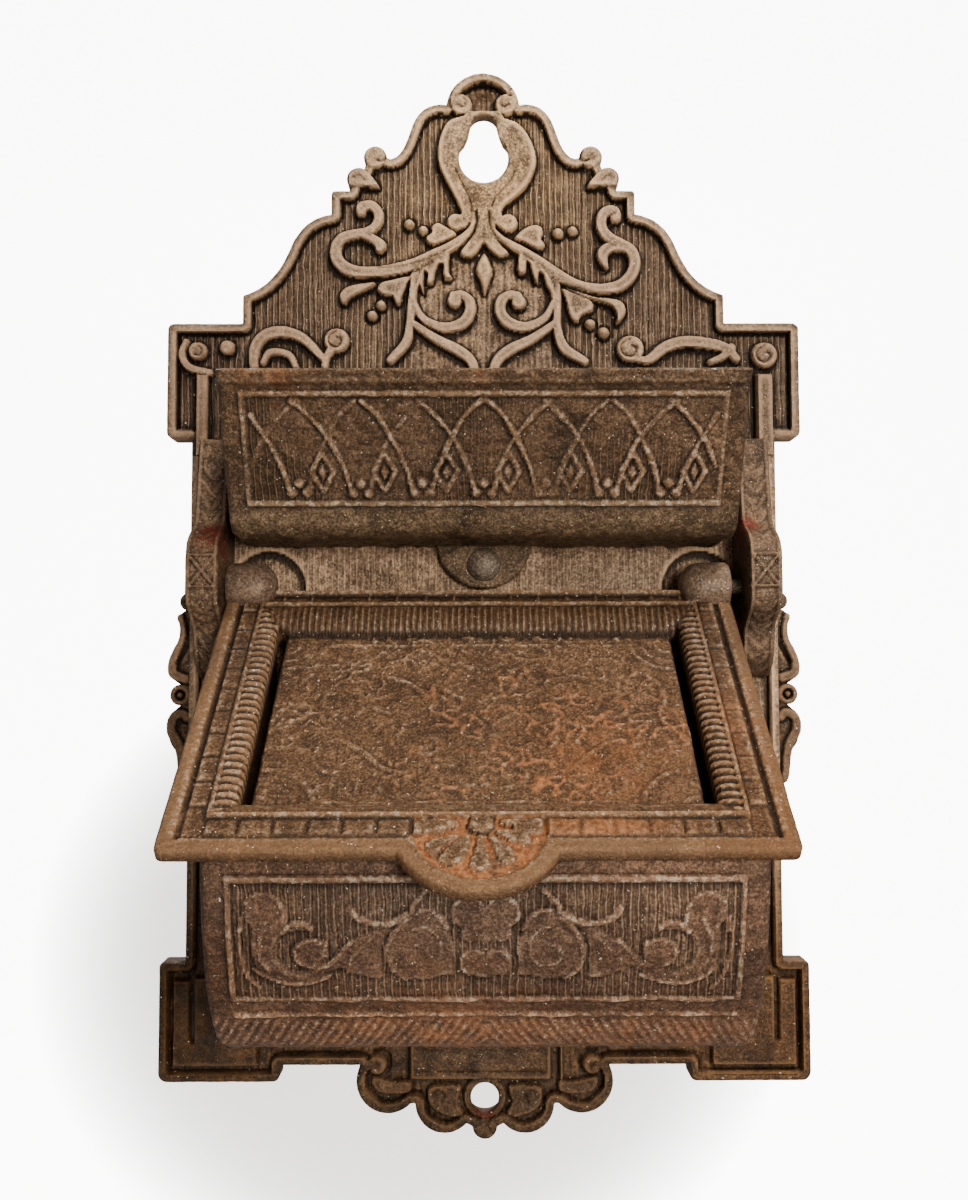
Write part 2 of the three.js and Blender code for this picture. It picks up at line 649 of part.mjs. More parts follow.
// Pins and rivets
function hingePin() {
  const head = [[1.9, CHEEK_OUTER], [1.7, CHEEK_OUTER + 0.6], [1.0, CHEEK_OUTER + 0.9], [0, CHEEK_OUTER + 1.0]];
  const tip = [[0, 35.6], [PIN_RADIUS - 0.3, 35.6], [PIN_RADIUS, 35.9], [PIN_RADIUS, CHEEK_OUTER]];
  return turnedAcross([...tip, ...head], 20).translate([0, -HINGE_BACK, HINGE_UP]);
}

// A rivet closed flush at the rear face, with a domed head on the lug's front
function rivet(x, z, headRadius) {
  const seat = GROUND + 2.2;
  const rear = [[0, 0.05], [2.4, 0.05], [RIVET_SHANK, 0.95], [RIVET_SHANK, seat]];
  const dome = [[headRadius, seat]];
  for (let i = 1; i < 4; i++) {
    const turn = (i / 4) * (Math.PI / 2);
    dome.push([headRadius * Math.cos(turn), seat + 1.7 * Math.sin(turn)]);
  }
  dome.push([0, seat + 1.7]);
  return turnedForward([...rear, ...dome], 16).translate([x, 0, z]);
}

// Assembly
const holder = new THREE.Group();
holder.add(meshOf("back_plate", backPlate(), plateIron));
holder.add(meshOf("upper_pocket", upperPocket(), pocketIron));
holder.add(meshOf("box_body", boxBody(), boxIron));

const lidHung = new THREE.Group();
lidHung.position.set(LID_SHIFT, -HINGE_BACK, HINGE_UP);
lidHung.rotation.x = LID_SLOPE;
lidHung.add(meshOf("lid", lidBody(), lidIron));
holder.add(lidHung);

holder.add(meshOf("hinge_pin_right", hingePin(), pinSteel));
holder.add(meshOf("hinge_pin_left", mirrored(hingePin()), pinSteel));
holder.add(meshOf("pocket_rivet", rivet(...pocketRivetAt, 2.9), rivetIron));
boxRivetsAt.forEach(([x, z]) => {
  const name = x < 0 ? "box_rivet_left" : "box_rivet_right";
  holder.add(meshOf(name, rivet(x, z, 2.8), rivetIron));
});

export default holder;
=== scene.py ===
import math

import bpy
import numpy as np
from mathutils import Matrix, Vector
from mathutils.geometry import tessellate_polygon


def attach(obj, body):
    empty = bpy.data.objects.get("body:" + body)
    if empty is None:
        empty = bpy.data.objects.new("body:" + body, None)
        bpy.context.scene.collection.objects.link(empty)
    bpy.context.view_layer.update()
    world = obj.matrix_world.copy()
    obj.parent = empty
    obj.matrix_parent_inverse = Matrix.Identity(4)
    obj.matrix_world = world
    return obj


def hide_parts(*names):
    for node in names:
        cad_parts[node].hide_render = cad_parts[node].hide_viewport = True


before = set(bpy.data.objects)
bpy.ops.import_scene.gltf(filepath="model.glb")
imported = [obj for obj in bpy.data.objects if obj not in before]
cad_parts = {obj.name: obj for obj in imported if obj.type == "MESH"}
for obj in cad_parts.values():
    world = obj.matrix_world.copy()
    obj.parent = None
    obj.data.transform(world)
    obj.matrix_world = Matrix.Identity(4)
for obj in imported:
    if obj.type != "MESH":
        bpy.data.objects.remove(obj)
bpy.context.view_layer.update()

MM = 0.001
SIDE_NAMES = {1: "right", -1: "left"}
rng = np.random.default_rng(8160)


# Curves
def arc(centre, radius, start, end, steps=8):
    """Points on an arc between two angles in degrees."""
    angles = np.radians(np.linspace(start, end, steps + 1))
    return np.column_stack((centre[0] + radius * np.cos(angles), centre[1] + radius * np.sin(angles)))


def bend(a, b, c, d, steps=8):
    """Points on a cubic curve from a to d, pulled towards b and c."""
    t = np.linspace(0, 1, steps + 1)[:, None]
    a, b, c, d = (np.array(p, float) for p in (a, b, c, d))
    return a * (1 - t) ** 3 + 3 * b * t * (1 - t) ** 2 + 3 * c * t * t * (1 - t) + d * t**3


def path(*parts):
    """One run of points from points and runs of points, without repeats."""
    rows = [np.atleast_2d(np.array(part, float)) for part in parts]
    points = np.vstack(rows)
    keep = np.ones(len(points), bool)
    keep[1:] = np.hypot(*np.diff(points, axis=0).T) > 1e-4
    return points[keep]


def smooth(points, steps=6, closed=False):
    """A Catmull-Rom curve through the points; a third value, such as a width, is carried along."""
    points = np.array(points, float)
    if closed:
        run = np.vstack((points[-1], points, points[0], points[1]))
    else:
        run = np.vstack((2 * points[0] - points[1], points, 2 * points[-1] - points[-2]))
    t = np.linspace(0, 1, steps, endpoint=False)[:, None]
    out = []
    for i in range(len(run) - 3):
        p0, p1, p2, p3 = run[i : i + 4]
        square = (2 * p0 - 5 * p1 + 4 * p2 - p3) * t**2
        cube = (3 * p1 - p0 - 3 * p2 + p3) * t**3
        out.append(0.5 * (2 * p1 + (p2 - p0) * t + square + cube))
    if not closed:
        out.append(points[-1:])
    return np.vstack(out)


def sided(side, points):
    """The points as they are for a side of 1, or on the other side of the middle line for a side of -1."""
    return [(side * point[0], *point[1:]) for point in points]


def mirror_outline(half):
    """A whole outline from its right half, whose ends lie on the middle line."""
    return np.vstack((half, sided(-1, half[1:-1])[::-1]))


def circle(centre, radius, steps=32):
    return arc(centre, radius, 0, 360, steps)[:-1]


# Distances
def ramp(value, width):
    """From 0 to 1 as the value rises from nothing to the width."""
    return np.clip(value / width, 0, 1)


def quarter_round(away, radius):
    """How far a rounded surface falls near its edge, by the distance from the edge."""
    return radius * (1 - np.sqrt(1 - (1 - ramp(away, radius)) ** 2))


def inside(u, v, outline):
    """True for the places within an outline."""
    result = np.zeros(u.shape, bool)
    for (au, av), (bu, bv) in zip(outline, np.roll(outline, -1, axis=0)):
        if av != bv:
            crosses = (av > v) != (bv > v)
            result ^= crosses & (u < (bu - au) * (v - av) / (bv - av) + au)
    return result


def along_stroke(u, v, points):
    """Signed distance to a stroke whose points hold u, v and its width there."""
    best = np.full(u.shape, np.inf)
    for (au, av, aw), (bu, bv, bw) in zip(points, points[1:]):
        du, dv = bu - au, bv - av
        share = np.clip(((u - au) * du + (v - av) * dv) / max(du * du + dv * dv, 1e-12), 0, 1)
        away = np.hypot(u - au - share * du, v - av - share * dv) - (aw + share * (bw - aw)) / 2
        np.minimum(best, away, out=best)
    return best


def beside(u, v, outline):
    """Distance from each place to a closed outline."""
    return along_stroke(u, v, [(*point, 0.0) for point in (*outline, outline[0])])


def signed(u, v, outline):
    """Distance to an outline, less than nothing inside it."""
    away = beside(u, v, outline)
    return np.where(inside(u, v, outline), -away, away)


def nearest_on(points, outline):
    """Each point moved to the nearest place on an outline, and how far away that is."""
    best = np.full(len(points), np.inf)
    place = points.copy()
    for a, b in zip(outline, np.roll(outline, -1, axis=0)):
        way = b - a
        share = np.clip(((points - a) @ way) / max(way @ way, 1e-12), 0, 1)
        there = a + share[:, None] * way
        away = np.hypot(*(points - there).T)
        closer = away < best
        best[closer] = away[closer]
        place[closer] = there[closer]
    return place, best


def softened(field, cells):
    """The field blurred over about that many grid cells."""
    reach = int(math.ceil(2.5 * cells))
    weights = np.exp(-0.5 * (np.arange(-reach, reach + 1) / cells) ** 2)
    weights /= weights.sum()
    for axis in (0, 1):
        padded = np.pad(field, [(reach, reach) if a == axis else (0, 0) for a in (0, 1)], mode="edge")
        size = field.shape[axis]
        field = sum(w * np.take(padded, range(i, i + size), axis=axis) for i, w in enumerate(weights))
    return field


# A blur of one cell leaves noise about this much weaker
GRAIN_GAIN = 3.2


def grain(shape, cells):
    """Smooth seeded noise of about unit size, over features of that many grid cells."""
    return softened(rng.standard_normal(shape), cells) * cells * GRAIN_GAIN


def spaced(*spans):
    """Grid lines from (start, end, step) spans."""
    lines = [np.linspace(a, b, max(2, int(round((b - a) / step)) + 1))[:-1] for a, b, step in spans]
    return np.append(np.concatenate(lines), spans[-1][1])


def grid_round(outline, cell):
    """Grid lines both ways over an outline, and one cell beyond it."""
    low, high = outline.min(axis=0) - cell, outline.max(axis=0) + cell
    return [spaced((low[k], high[k], cell)) for k in (0, 1)]


# Reliefs
SHOULDER = 0.36
SHOULDER_POWER = 2.2
STROKE_SPREAD = 0.28
MOAT_SHARE = 0.35
MOAT_DEEP = 0.6
MOAT_REACH = 0.36
NOT_RAISED = -99.0
EVERYWHERE = (slice(None), slice(None))
# What the finish compares the surface with, and the differences at which hollows are black with dirt and
# painted shade and crests bright with wear
BLUR = 0.55
HOLLOW_DEEP = 0.36
CREST_HIGH = 0.4


class Relief:
    """Heights of a cast surface over a grid in its own plane."""

    def __init__(self, us, vs, ground):
        self.us, self.vs = us, vs
        self.u, self.v = np.meshgrid(us, vs)
        self.ground = np.full(self.u.shape, float(ground))
        self.raised = np.full(self.u.shape, NOT_RAISED)
        self.cuts, self.lined, self.rusty = (np.zeros(self.u.shape) for _ in range(3))
        self.worn, self.clean, self.dirt_and_shade = (np.zeros(self.u.shape) for _ in range(3))

    def count_from(self, mark, value=0.0):
        """Counts v afresh, so that what was the mark becomes the value."""
        self.v = self.v - mark + value
        self.vs = self.vs - mark + value

    def near(self, points, reach):
        """The rows and columns of the grid within reach of some points."""
        low, high = points[:, :2].min(axis=0) - reach, points[:, :2].max(axis=0) + reach
        rows = slice(*np.searchsorted(self.vs, (low[1], high[1])))
        columns = slice(*np.searchsorted(self.us, (low[0], high[0])))
        return rows, columns

    def lift(self, part, away, top, shoulder=SHOULDER, moat=MOAT_SHARE):
        """Raises what lies within a signed distance, and sinks the ground just beside it."""
        rise = 1 - (1 - ramp(-away, shoulder)) ** SHOULDER_POWER
        foot = self.ground[part]
        height = foot + (top - foot) * rise
        self.raised[part] = np.maximum(self.raised[part], np.where(away < 0, height, NOT_RAISED))
        sunk = np.exp(-((np.clip(away, 0, None) / MOAT_REACH) ** 2)) * moat * MOAT_DEEP
        self.cuts[part] = np.maximum(self.cuts[part], np.where(away > 0, sunk, 0))

    def stroke(self, points, top, moat=MOAT_SHARE, shoulder=SHOULDER, steps=6):
        """A raised band through (u, v, width) points."""
        line = smooth(points, steps)
        line[:, 2] += STROKE_SPREAD
        part = self.near(line, 3.0 + line[:, 2].max())
        if self.u[part].size:
            self.lift(part, along_stroke(self.u[part], self.v[part], line), top, shoulder, moat)

    def disc(self, centre, radius, top, moat=MOAT_SHARE, shoulder=None):
        """A raised dome."""
        line = np.array([[*centre, 0.0]])
        part = self.near(line, radius + 2.0)
        if self.u[part].size:
            away = np.hypot(self.u[part] - centre[0], self.v[part] - centre[1]) - radius
            self.lift(part, away, top, shoulder or radius * 0.8, moat)

    def leaf(self, points, top, moat=MOAT_SHARE, shoulder=SHOULDER, steps=5, rounded=True):
        """A raised patch inside a closed outline."""
        outline = smooth(points, steps, closed=True) if rounded else np.array(points, float)
        part = self.near(outline, 2.0)
        if self.u[part].size:
            self.lift(part, signed(self.u[part], self.v[part], outline), top, shoulder, moat)

    def groove(self, points, width, depth, steps=6, closed=False):
        """A line cut into whatever is there."""
        line = smooth([[p[0], p[1], width] for p in points], steps, closed)
        part = self.near(line, width + 1.0)
        if self.u[part].size:
            away = along_stroke(self.u[part], self.v[part], line) + width / 2
            self.dug[part] = np.maximum(self.dug[part], depth * np.exp(-((away / (width * 0.5)) ** 2)))

    def wear(self, part, least, cells):
        """Takes the raised forms partly down in patches, to no less than a share of their height."""
        left = np.clip(0.5 * (1 + least) + 0.35 * grain(self.u.shape, cells), least, 1.0) * part + (1 - part)
        lowered = self.ground + (self.raised - self.ground) * left
        self.raised = np.where(self.raised > NOT_RAISED, lowered, self.raised)

    def settle(self):
        """Fixes ground and raised forms as one surface, ready for grooves."""
        self.height = np.maximum(self.ground - self.cuts, self.raised)
        self.on_ground = self.raised < self.ground
        self.dug = np.zeros(self.u.shape)

    def finish(self, pits=0.03, cell=0.3):
        """The surface with its grooves and the casting's own roughness, and the shares for its finish."""
        bare = self.height - self.dug
        wide = softened(bare, BLUR / cell)
        # Hollows darken with dirt and painted shade. The blur is shifted one cell towards higher u and v, so
        # the ground on the low u, low v side of a form is darker. On the plate that side lies below and left
        # of the form, as painted shade from a light above and to the right
        above = np.roll(wide, (-1, -1), axis=(0, 1))
        cleared = 1 - np.maximum(self.rusty, self.clean)
        shares = {
            "hollow": np.clip((above - bare) / HOLLOW_DEEP + self.dirt_and_shade, 0, 1) * cleared,
            "crest": np.clip((bare - wide) / CREST_HIGH + np.minimum(self.worn, 0), 0, 1),
            "worn": np.clip(self.worn, 0, 1),
            "lined": self.lined * self.on_ground,
            "rusty": self.rusty,
        }
        rough = grain(bare.shape, 1.0) * pits + grain(bare.shape, 3.0) * pits * 0.8
        return bare + rough, shares


# The shares at points behind the relief
PLAIN = {"hollow": 0.25, "crest": 0.0, "worn": 0.0, "lined": 0.0, "rusty": 0.0}


def kept_shares(shares, used, extra):
    """The shares at the used points, and plain ones for the points behind them."""
    return {
        label: np.append(field.ravel()[used], np.full(extra, PLAIN[label]))
        for label, field in shares.items()
    }


# Meshes
def make_mesh(name, points, faces, shares=None, turn=50.0):
    """An object from points in millimetres, smooth but for edges sharper than turn degrees."""
    mesh = bpy.data.meshes.new(name)
    mesh.from_pydata((np.asarray(points) * MM).tolist(), [], faces)
    mesh.update()
    mesh.polygons.foreach_set("use_smooth", np.ones(len(mesh.polygons), bool))
    mesh.set_sharp_from_angle(angle=math.radians(turn))
    for share, values in (shares or {}).items():
        layer = mesh.attributes.new(share, "FLOAT", "POINT")
        layer.data.foreach_set("value", np.asarray(values, np.float32))
    thing = bpy.data.objects.new(name, mesh)
    bpy.context.scene.collection.objects.link(thing)
    return thing


def stands_for(thing, body, node):
    """Says which body a piece rides on and which CAD node it stands for, and hides that node."""
    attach(thing, body)
    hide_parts(node)
    return thing


def kept_cells(us, vs, outline, holes):
    """Which grid cells lie within the outline and outside the holes."""
    cu, cv = np.meshgrid((us[1:] + us[:-1]) / 2, (vs[1:] + vs[:-1]) / 2)
    keep = inside(cu, cv, outline)
    for hole in holes:
        keep &= ~inside(cu, cv, hole)
    return keep


def numbered(shape):
    """The numbers of a grid's points, row by row."""
    return np.arange(shape[0] * shape[1]).reshape(shape)


def cut_sheet(us, vs, outline, holes):
    """The cells within the outline as points, faces and rim edges, and which of the grid's points they use.
    Points on the rim are moved onto the outlines."""
    number = numbered((len(vs), len(us)))
    r, c = np.nonzero(kept_cells(us, vs, outline, holes))
    quads = np.column_stack((number[r, c], number[r, c + 1], number[r + 1, c + 1], number[r + 1, c]))
    ends = np.roll(quads, -1, axis=1)
    starts, ends = quads.ravel(), ends.ravel()
    total = number.size
    there = set((starts * total + ends).tolist())
    back = (ends * total + starts).tolist()
    lonely = np.array([b not in there for b in back])
    rim = np.column_stack((starts[lonely], ends[lonely]))
    grid = np.column_stack([g.ravel() for g in np.meshgrid(us, vs)])
    edge_points = np.unique(rim)
    places = grid[edge_points]
    best = np.full(len(places), np.inf)
    moved = places.copy()
    limit = 1.5 * max(np.diff(us).max(), np.diff(vs).max())
    for loop in [outline, *holes]:
        there, away = nearest_on(places, loop)
        closer = (away < best) & (away < limit)
        moved[closer] = there[closer]
        best[closer] = away[closer]
    grid[edge_points] = moved
    used = np.unique(quads)
    renumber = np.full(total, -1)
    renumber[used] = np.arange(len(used))
    return grid[used], renumber[quads], renumber[rim], used


EDGE_ROUND = 0.45


def rim_drop(places, loops):
    """How far the surface falls near its edges, as a quarter round."""
    away = np.full(len(places), np.inf)
    for loop in loops:
        low, high = loop.min(axis=0) - EDGE_ROUND, loop.max(axis=0) + EDGE_ROUND
        close = ((places > low) & (places < high)).all(axis=1)
        away[close] = np.minimum(away[close], beside(places[close, 0], places[close, 1], loop))
    return quarter_round(away, EDGE_ROUND)


def rim_walls(rim, count):
    """The points on a sheet's rim, and walls from it to points straight behind them, numbered from count."""
    feet = np.unique(rim)
    foot_of = np.full(count, -1)
    foot_of[feet] = np.arange(len(feet)) + count
    return feet, [(a, foot_of[a], foot_of[b], b) for a, b in rim]


def filled(outline, holes):
    """Triangles that fill an outline with holes, over all its points in turn."""
    loops = [[Vector((p[0], p[1], 0)) for p in loop] for loop in [outline, *holes]]
    return [tuple(face) for face in tessellate_polygon(loops)]


def clipped(outline, level, above):
    """The part of an outline above or below a level, and its cut edge."""
    sign = 1 if above else -1
    points = []
    for a, b in zip(outline, np.roll(outline, -1, axis=0)):
        here, there = sign * (a[1] - level), sign * (b[1] - level)
        if here >= 0:
            points.append(a)
        if here * there < 0:
            points.append(a + (b - a) * here / (here - there))
    return np.array(points)


def plate_piece(name, relief, surface, outline, holes, place, level=None, above=True, draft=0.0):
    """A casting with a relief in front and a flat back, or its part above or below a level.
    place turns (u, v, out) rows into points, and holes widen by the draft towards the back."""
    height, shares = surface
    shape = outline if level is None else clipped(outline, level, above)
    if level is not None:
        holes = [hole for hole in holes if (hole[:, 1].mean() > level) == above]
    flat, quads, rim, used = cut_sheet(relief.us, relief.vs, shape, holes)
    out = height.ravel()[used] - rim_drop(flat, [outline, *holes])
    front = place(np.column_stack((flat, out)))
    if level is not None:
        on_cut = np.abs(flat[:, 1] - level) < 1e-6
        rim = rim[~(on_cut[rim[:, 0]] & on_cut[rim[:, 1]])]
    feet, walls = rim_walls(rim, len(flat))
    rear_holes = [widened(hole, hole, draft) for hole in holes]
    foot_flat = flat[feet].copy()
    for hole in holes:
        close = nearest_on(foot_flat, hole)[1] < 1e-3
        foot_flat[close] = widened(foot_flat[close], hole, draft)
    base = place(np.column_stack((foot_flat, np.zeros(len(feet)))))
    rear_flat = np.vstack([shape, *rear_holes])
    rear = place(np.column_stack((rear_flat, np.zeros(len(rear_flat)))))
    first = len(flat) + len(feet)
    back = [tuple(i + first for i in face[::-1]) for face in filled(shape, rear_holes)]
    shares = kept_shares(shares, used, len(feet) + len(rear))
    return make_mesh(name, np.vstack((front, base, rear)), quads.tolist() + walls + back, shares)


def widened(points, hole, draft):
    """Points moved away from a hole's centre by the draft."""
    way = points - hole.mean(axis=0)
    return points + way / np.maximum(np.hypot(*way.T), 1e-9)[:, None] * draft


def on_wall(rows):
    """Points from (x, z, out) rows of the back plate's plane."""
    return np.column_stack((rows[:, 0], -rows[:, 2], rows[:, 1]))


# Back plate, sizes as in the CAD model
TABS_HALF = 53.7
WAIST_HALF = 49.4
CREST_TOP = 92.65
FOOT_BOTTOM = -86.95
GROUND = 3.0
RIM = 4.2
RIM_WIDTH = 1.55
ORNAMENT = 4.6


def plate_outline():
    """The stepped and scrolled outline, from the crest's top down the right side."""
    half = path(
        arc((0, CREST_TOP - 6.3), 6.3, 90, 6, 14),
        bend((6.27, 87.0), (8.2, 87.4), (10.4, 86.9), (11.8, 84.2)),
        bend((11.8, 84.2), (12.8, 82.0), (13.4, 77.9), (15.9, 77.5)),
        arc((18.5, 77.75), 2.0, 180, -35, 14),
        arc((21.4, 74.0), 2.0, 120, -50, 12),
        (22.9, 71.9),
        arc((25.4, 71.3), 0.6, 90, 0, 4),
        (26.0, 67.8),
        bend((26.0, 67.8), (29.3, 67.4), (31.6, 65.2), (32.8, 62.3)),
        bend((32.8, 62.3), (34.2, 58.9), (36.0, 55.4), (40.4, 53.9), 12),
        arc((40.4, 53.3), 0.6, 90, 0, 4),
        (41.0, 48.8),
        arc((TABS_HALF - 1.0, 47.8), 1.0, 90, 0, 5),
        arc((TABS_HALF - 1.2, 30.2), 1.2, 0, -90, 5),
        (WAIST_HALF, 29.0),
        (WAIST_HALF, -58.3),
        arc((TABS_HALF - 0.8, -59.1), 0.8, 90, 0, 5),
        arc((TABS_HALF - 1.4, -76.3), 1.4, 0, -90, 6),
        arc((34.9, -76.5), 1.2, -90, -180, 6),
        (33.7, -75.0),
        arc((15.9, -77.6), 5.2, 30, -136, 22),
        arc((6.6, -81.2), 4.8, 0, -138, 18),
        arc((0, FOOT_BOTTOM + 2.0), 2.0, 0, -90, 8),
    )
    return mirror_outline(half)


KEYHOLE = path(arc((0.1, 77.4), 4.2, 130, 410, 40), (2.3, 82.6), arc((0.1, 82.9), 2.2, 0, 180, 14))
SCREW_HOLE_AT = (0, -80.2)
SCREW_HOLE = circle(SCREW_HOLE_AT, 2.3)


def draw_rim(relief, outline):
    """The raised rim that follows the plate's outline, with lined ground inside it."""
    away = signed(relief.u, relief.v, outline)
    relief.ground += ground_lines(relief.u, relief.v)
    relief.lined[:] = 1.0
    relief.lift(EVERYWHERE, np.maximum(away - 1.0, -RIM_WIDTH - away), RIM, shoulder=0.25, moat=0.9)


LINE_PITCH = 1.03


def ground_lines(u, v):
    """Upright lines of uneven depth, as a wooden pattern was scored by hand."""
    drift = 0.18 * np.sin(u * 0.9) + 0.12 * np.sin(v * 0.21 + u * 0.37)
    depth = 0.10 + 0.04 * np.sin(u * 2.3 + 0.4 * np.sin(v * 0.3)) + 0.03 * np.sin(v * 0.55 + u * 5.1)
    return depth * np.cos(2 * math.pi * (u / LINE_PITCH + drift))


def draw_crest(relief):
    """Scrollwork of the crest, left and right as cast."""
    stroke, disc, leaf = relief.stroke, relief.disc, relief.leaf
    pitted = ramp(12.5 - np.abs(relief.u), 1.5) * ramp(61.0 - relief.v, 1.5)
    relief.lined *= 1 - 0.9 * pitted
    head = (relief.v > 85.5) & (np.abs(relief.u) < 5.5)
    relief.lined[head] = 0.0
    relief.ground[head] -= 0.5
    # Collar of the keyhole and the lyre on both sides of it
    part = relief.near(KEYHOLE, 4.0)
    collar = signed(relief.u[part], relief.v[part], KEYHOLE) - 1.9
    collar = np.maximum(collar, relief.v[part] - 86.0)
    relief.lift(part, collar, ORNAMENT - 0.05, moat=0.3)
    leaf([(-5.6, 76), (-3.4, 71), (-2.4, 68.2), (2.0, 68.2), (2.9, 71), (5.8, 76), (0, 73.5)], ORNAMENT - 0.1,
          moat=0.0, rounded=False)
    leaf([(2.6, 85.0), (3.8, 84.6), (5.9, 83.8), (7.5, 82.2), (8.8, 79.5), (9.2, 76.8), (8.6, 74.5),
          (7.4, 72.3), (5.7, 70.6), (3.9, 69.1), (3.2, 68.0), (3.7, 67.1), (5.0, 67.4), (5.7, 66.4),
          (5.1, 65.2), (3.8, 64.9), (2.3, 65.5), (1.4, 67.2), (1.4, 69.1), (2.0, 71.0), (3.2, 73.2),
          (4.3, 75.2), (4.6, 77.5), (4.2, 79.5), (3.2, 81.2), (2.7, 83.0)], ORNAMENT, moat=0.5)
    leaf([(-2.4, 85.0), (-4.2, 84.8), (-6.1, 84.0), (-7.3, 81.8), (-7.9, 79.1), (-7.7, 76.4), (-6.8, 74.1),
          (-5.6, 71.8), (-4.5, 69.5), (-3.9, 68.0), (-4.4, 67.3), (-5.5, 67.4), (-6.0, 66.5), (-5.2, 65.5),
          (-4.0, 65.0), (-2.8, 65.2), (-2.1, 66.4), (-2.0, 68.3), (-2.2, 70.0), (-2.6, 71.6), (-3.4, 73.1),
          (-4.2, 74.9), (-4.4, 77.0), (-4.1, 79.5), (-3.1, 81.2), (-2.5, 83.0)], ORNAMENT, moat=0.5)
    leaf([(-2.3, 70.8), (2.3, 70.8), (2.6, 67.0), (1.6, 64.6), (-1.6, 64.6), (-2.6, 67.0)], ORNAMENT - 0.15,
          moat=0.0)
    disc((4.3, 66.1), 1.7, ORNAMENT, moat=0.4, shoulder=0.4)
    disc((-4.7, 66.3), 1.6, ORNAMENT, moat=0.4, shoulder=0.4)
    leaf([(3.7, 73.3), (2.6, 73.2), (1.2, 72.3), (0.5, 71.4), (1.2, 70.9), (2.3, 71.4)], ORNAMENT - 0.1,
          moat=0.1)
    leaf([(-3.4, 73.6), (-2.4, 73.0), (-1.3, 72.0), (-0.8, 71.0), (-1.6, 70.8), (-2.6, 71.8)], ORNAMENT - 0.1,
          moat=0.1)
    # Volutes where the arch begins
    for x in (3.9, -3.7):
        disc((x, 86.9), 1.95, ORNAMENT, moat=0.4, shoulder=0.4)
        stroke([(x * 1.30, 89.0, 0.9), (x * 1.40, 87.6, 1.0), (x * 1.3, 86.2, 1.0)], ORNAMENT)
    # Bud, fan leaves and lozenge on the middle line
    leaf([(-0.3, 70.4), (-1.2, 70.0), (-1.4, 69.2), (-1.2, 68.0), (-1.0, 66.6), (-1.4, 65.0), (-2.5, 63.2),
          (-4.0, 61.2), (-3.7, 60.3), (-2.6, 60.0), (-1.3, 60.6), (-0.3, 62.0), (0.1, 62.4), (1.4, 61.0),
          (2.8, 60.1), (4.0, 60.4), (4.4, 61.0), (2.6, 63.0), (1.5, 64.8), (0.9, 66.6), (0.9, 68.2),
          (0.9, 69.4), (0.5, 70.2)], ORNAMENT, moat=0.5)
    leaf([(0.2, 61.2), (1.1, 59.7), (1.7, 57.9), (1.2, 56.0), (0.2, 53.7), (-0.8, 56.0), (-1.5, 57.9),
          (-0.9, 59.7)], ORNAMENT - 0.1, shoulder=0.9, moat=0.5)
    # Heart leaves and berries above the stems
    leaf([(5.3, 63.3), (5.8, 64.2), (7.2, 65.4), (8.8, 65.9), (10.1, 65.4), (10.3, 64.3), (10.0, 63.4),
          (10.6, 62.5), (10.1, 61.5), (9.0, 61.6), (7.2, 62.5)], ORNAMENT, moat=0.7)
    leaf([(-4.6, 63.8), (-6.4, 62.9), (-8.3, 62.2), (-9.7, 62.8), (-9.8, 63.8), (-8.9, 64.5), (-8.9, 65.6),
          (-7.7, 66.3), (-6.4, 65.6), (-4.7, 64.6)], ORNAMENT, moat=0.7)
    for x, z, radius in ((12.8, 64.5, 1.05), (15.3, 64.9, 0.95), (18.2, 48.7, 1.0), (20.5, 47.2, 1.1),
                         (-10.3, 65.0, 0.95), (-12.7, 66.1, 1.0), (-17.5, 52.0, 0.95), (-19.0, 50.2, 1.0)):
        disc((x, z), radius, ORNAMENT, moat=0.8)
    # Main stems, their C scrolls and hooks
    stroke([(1.0, 66.6, 0.9), (1.7, 64.7, 1.2), (3.5, 63.0, 1.4), (6.5, 61.3, 1.8), (9.6, 59.1, 2.3),
            (12.6, 57.0, 2.3), (15.0, 55.8, 1.9), (17.4, 55.0, 1.8), (20.4, 54.7, 1.8), (23.4, 55.3, 2.0),
            (25.3, 57.2, 2.0), (25.9, 59.4, 2.0), (25.2, 61.3, 2.0), (23.5, 62.4, 2.0), (21.6, 63.5, 1.9),
            (20.4, 65.0, 1.8), (20.2, 66.7, 1.8), (21.0, 68.1, 1.8), (22.4, 68.1, 1.9), (22.6, 67.2, 2.0)],
            ORNAMENT, moat=0.5)
    stroke([(24.0, 62.0, 1.6), (21.8, 61.9, 1.8), (20.5, 60.9, 2.0), (20.5, 59.6, 1.5), (21.0, 58.5, 0.8)],
            ORNAMENT, moat=0.5)
    stroke([(-1.4, 66.4, 0.9), (-2.5, 64.4, 1.3), (-5.2, 62.2, 1.7), (-8.6, 60.5, 1.9), (-12.0, 58.9, 2.1),
            (-16.0, 57.9, 2.0), (-19.6, 57.6, 1.9), (-22.6, 57.9, 2.2), (-24.7, 59.4, 2.1),
            (-25.2, 61.5, 2.0), (-24.2, 63.4, 1.8), (-22.0, 64.2, 1.7), (-19.8, 64.6, 1.6),
            (-18.3, 65.8, 1.6), (-17.9, 67.6, 1.7), (-18.9, 69.1, 1.7), (-20.6, 69.0, 1.8),
            (-20.9, 68.2, 1.8)], ORNAMENT, moat=0.5)
    stroke([(-20.6, 64.2, 1.4), (-18.6, 63.2, 1.6), (-17.6, 62.3, 1.9), (-17.7, 61.7, 1.5)], ORNAMENT,
            moat=0.5)
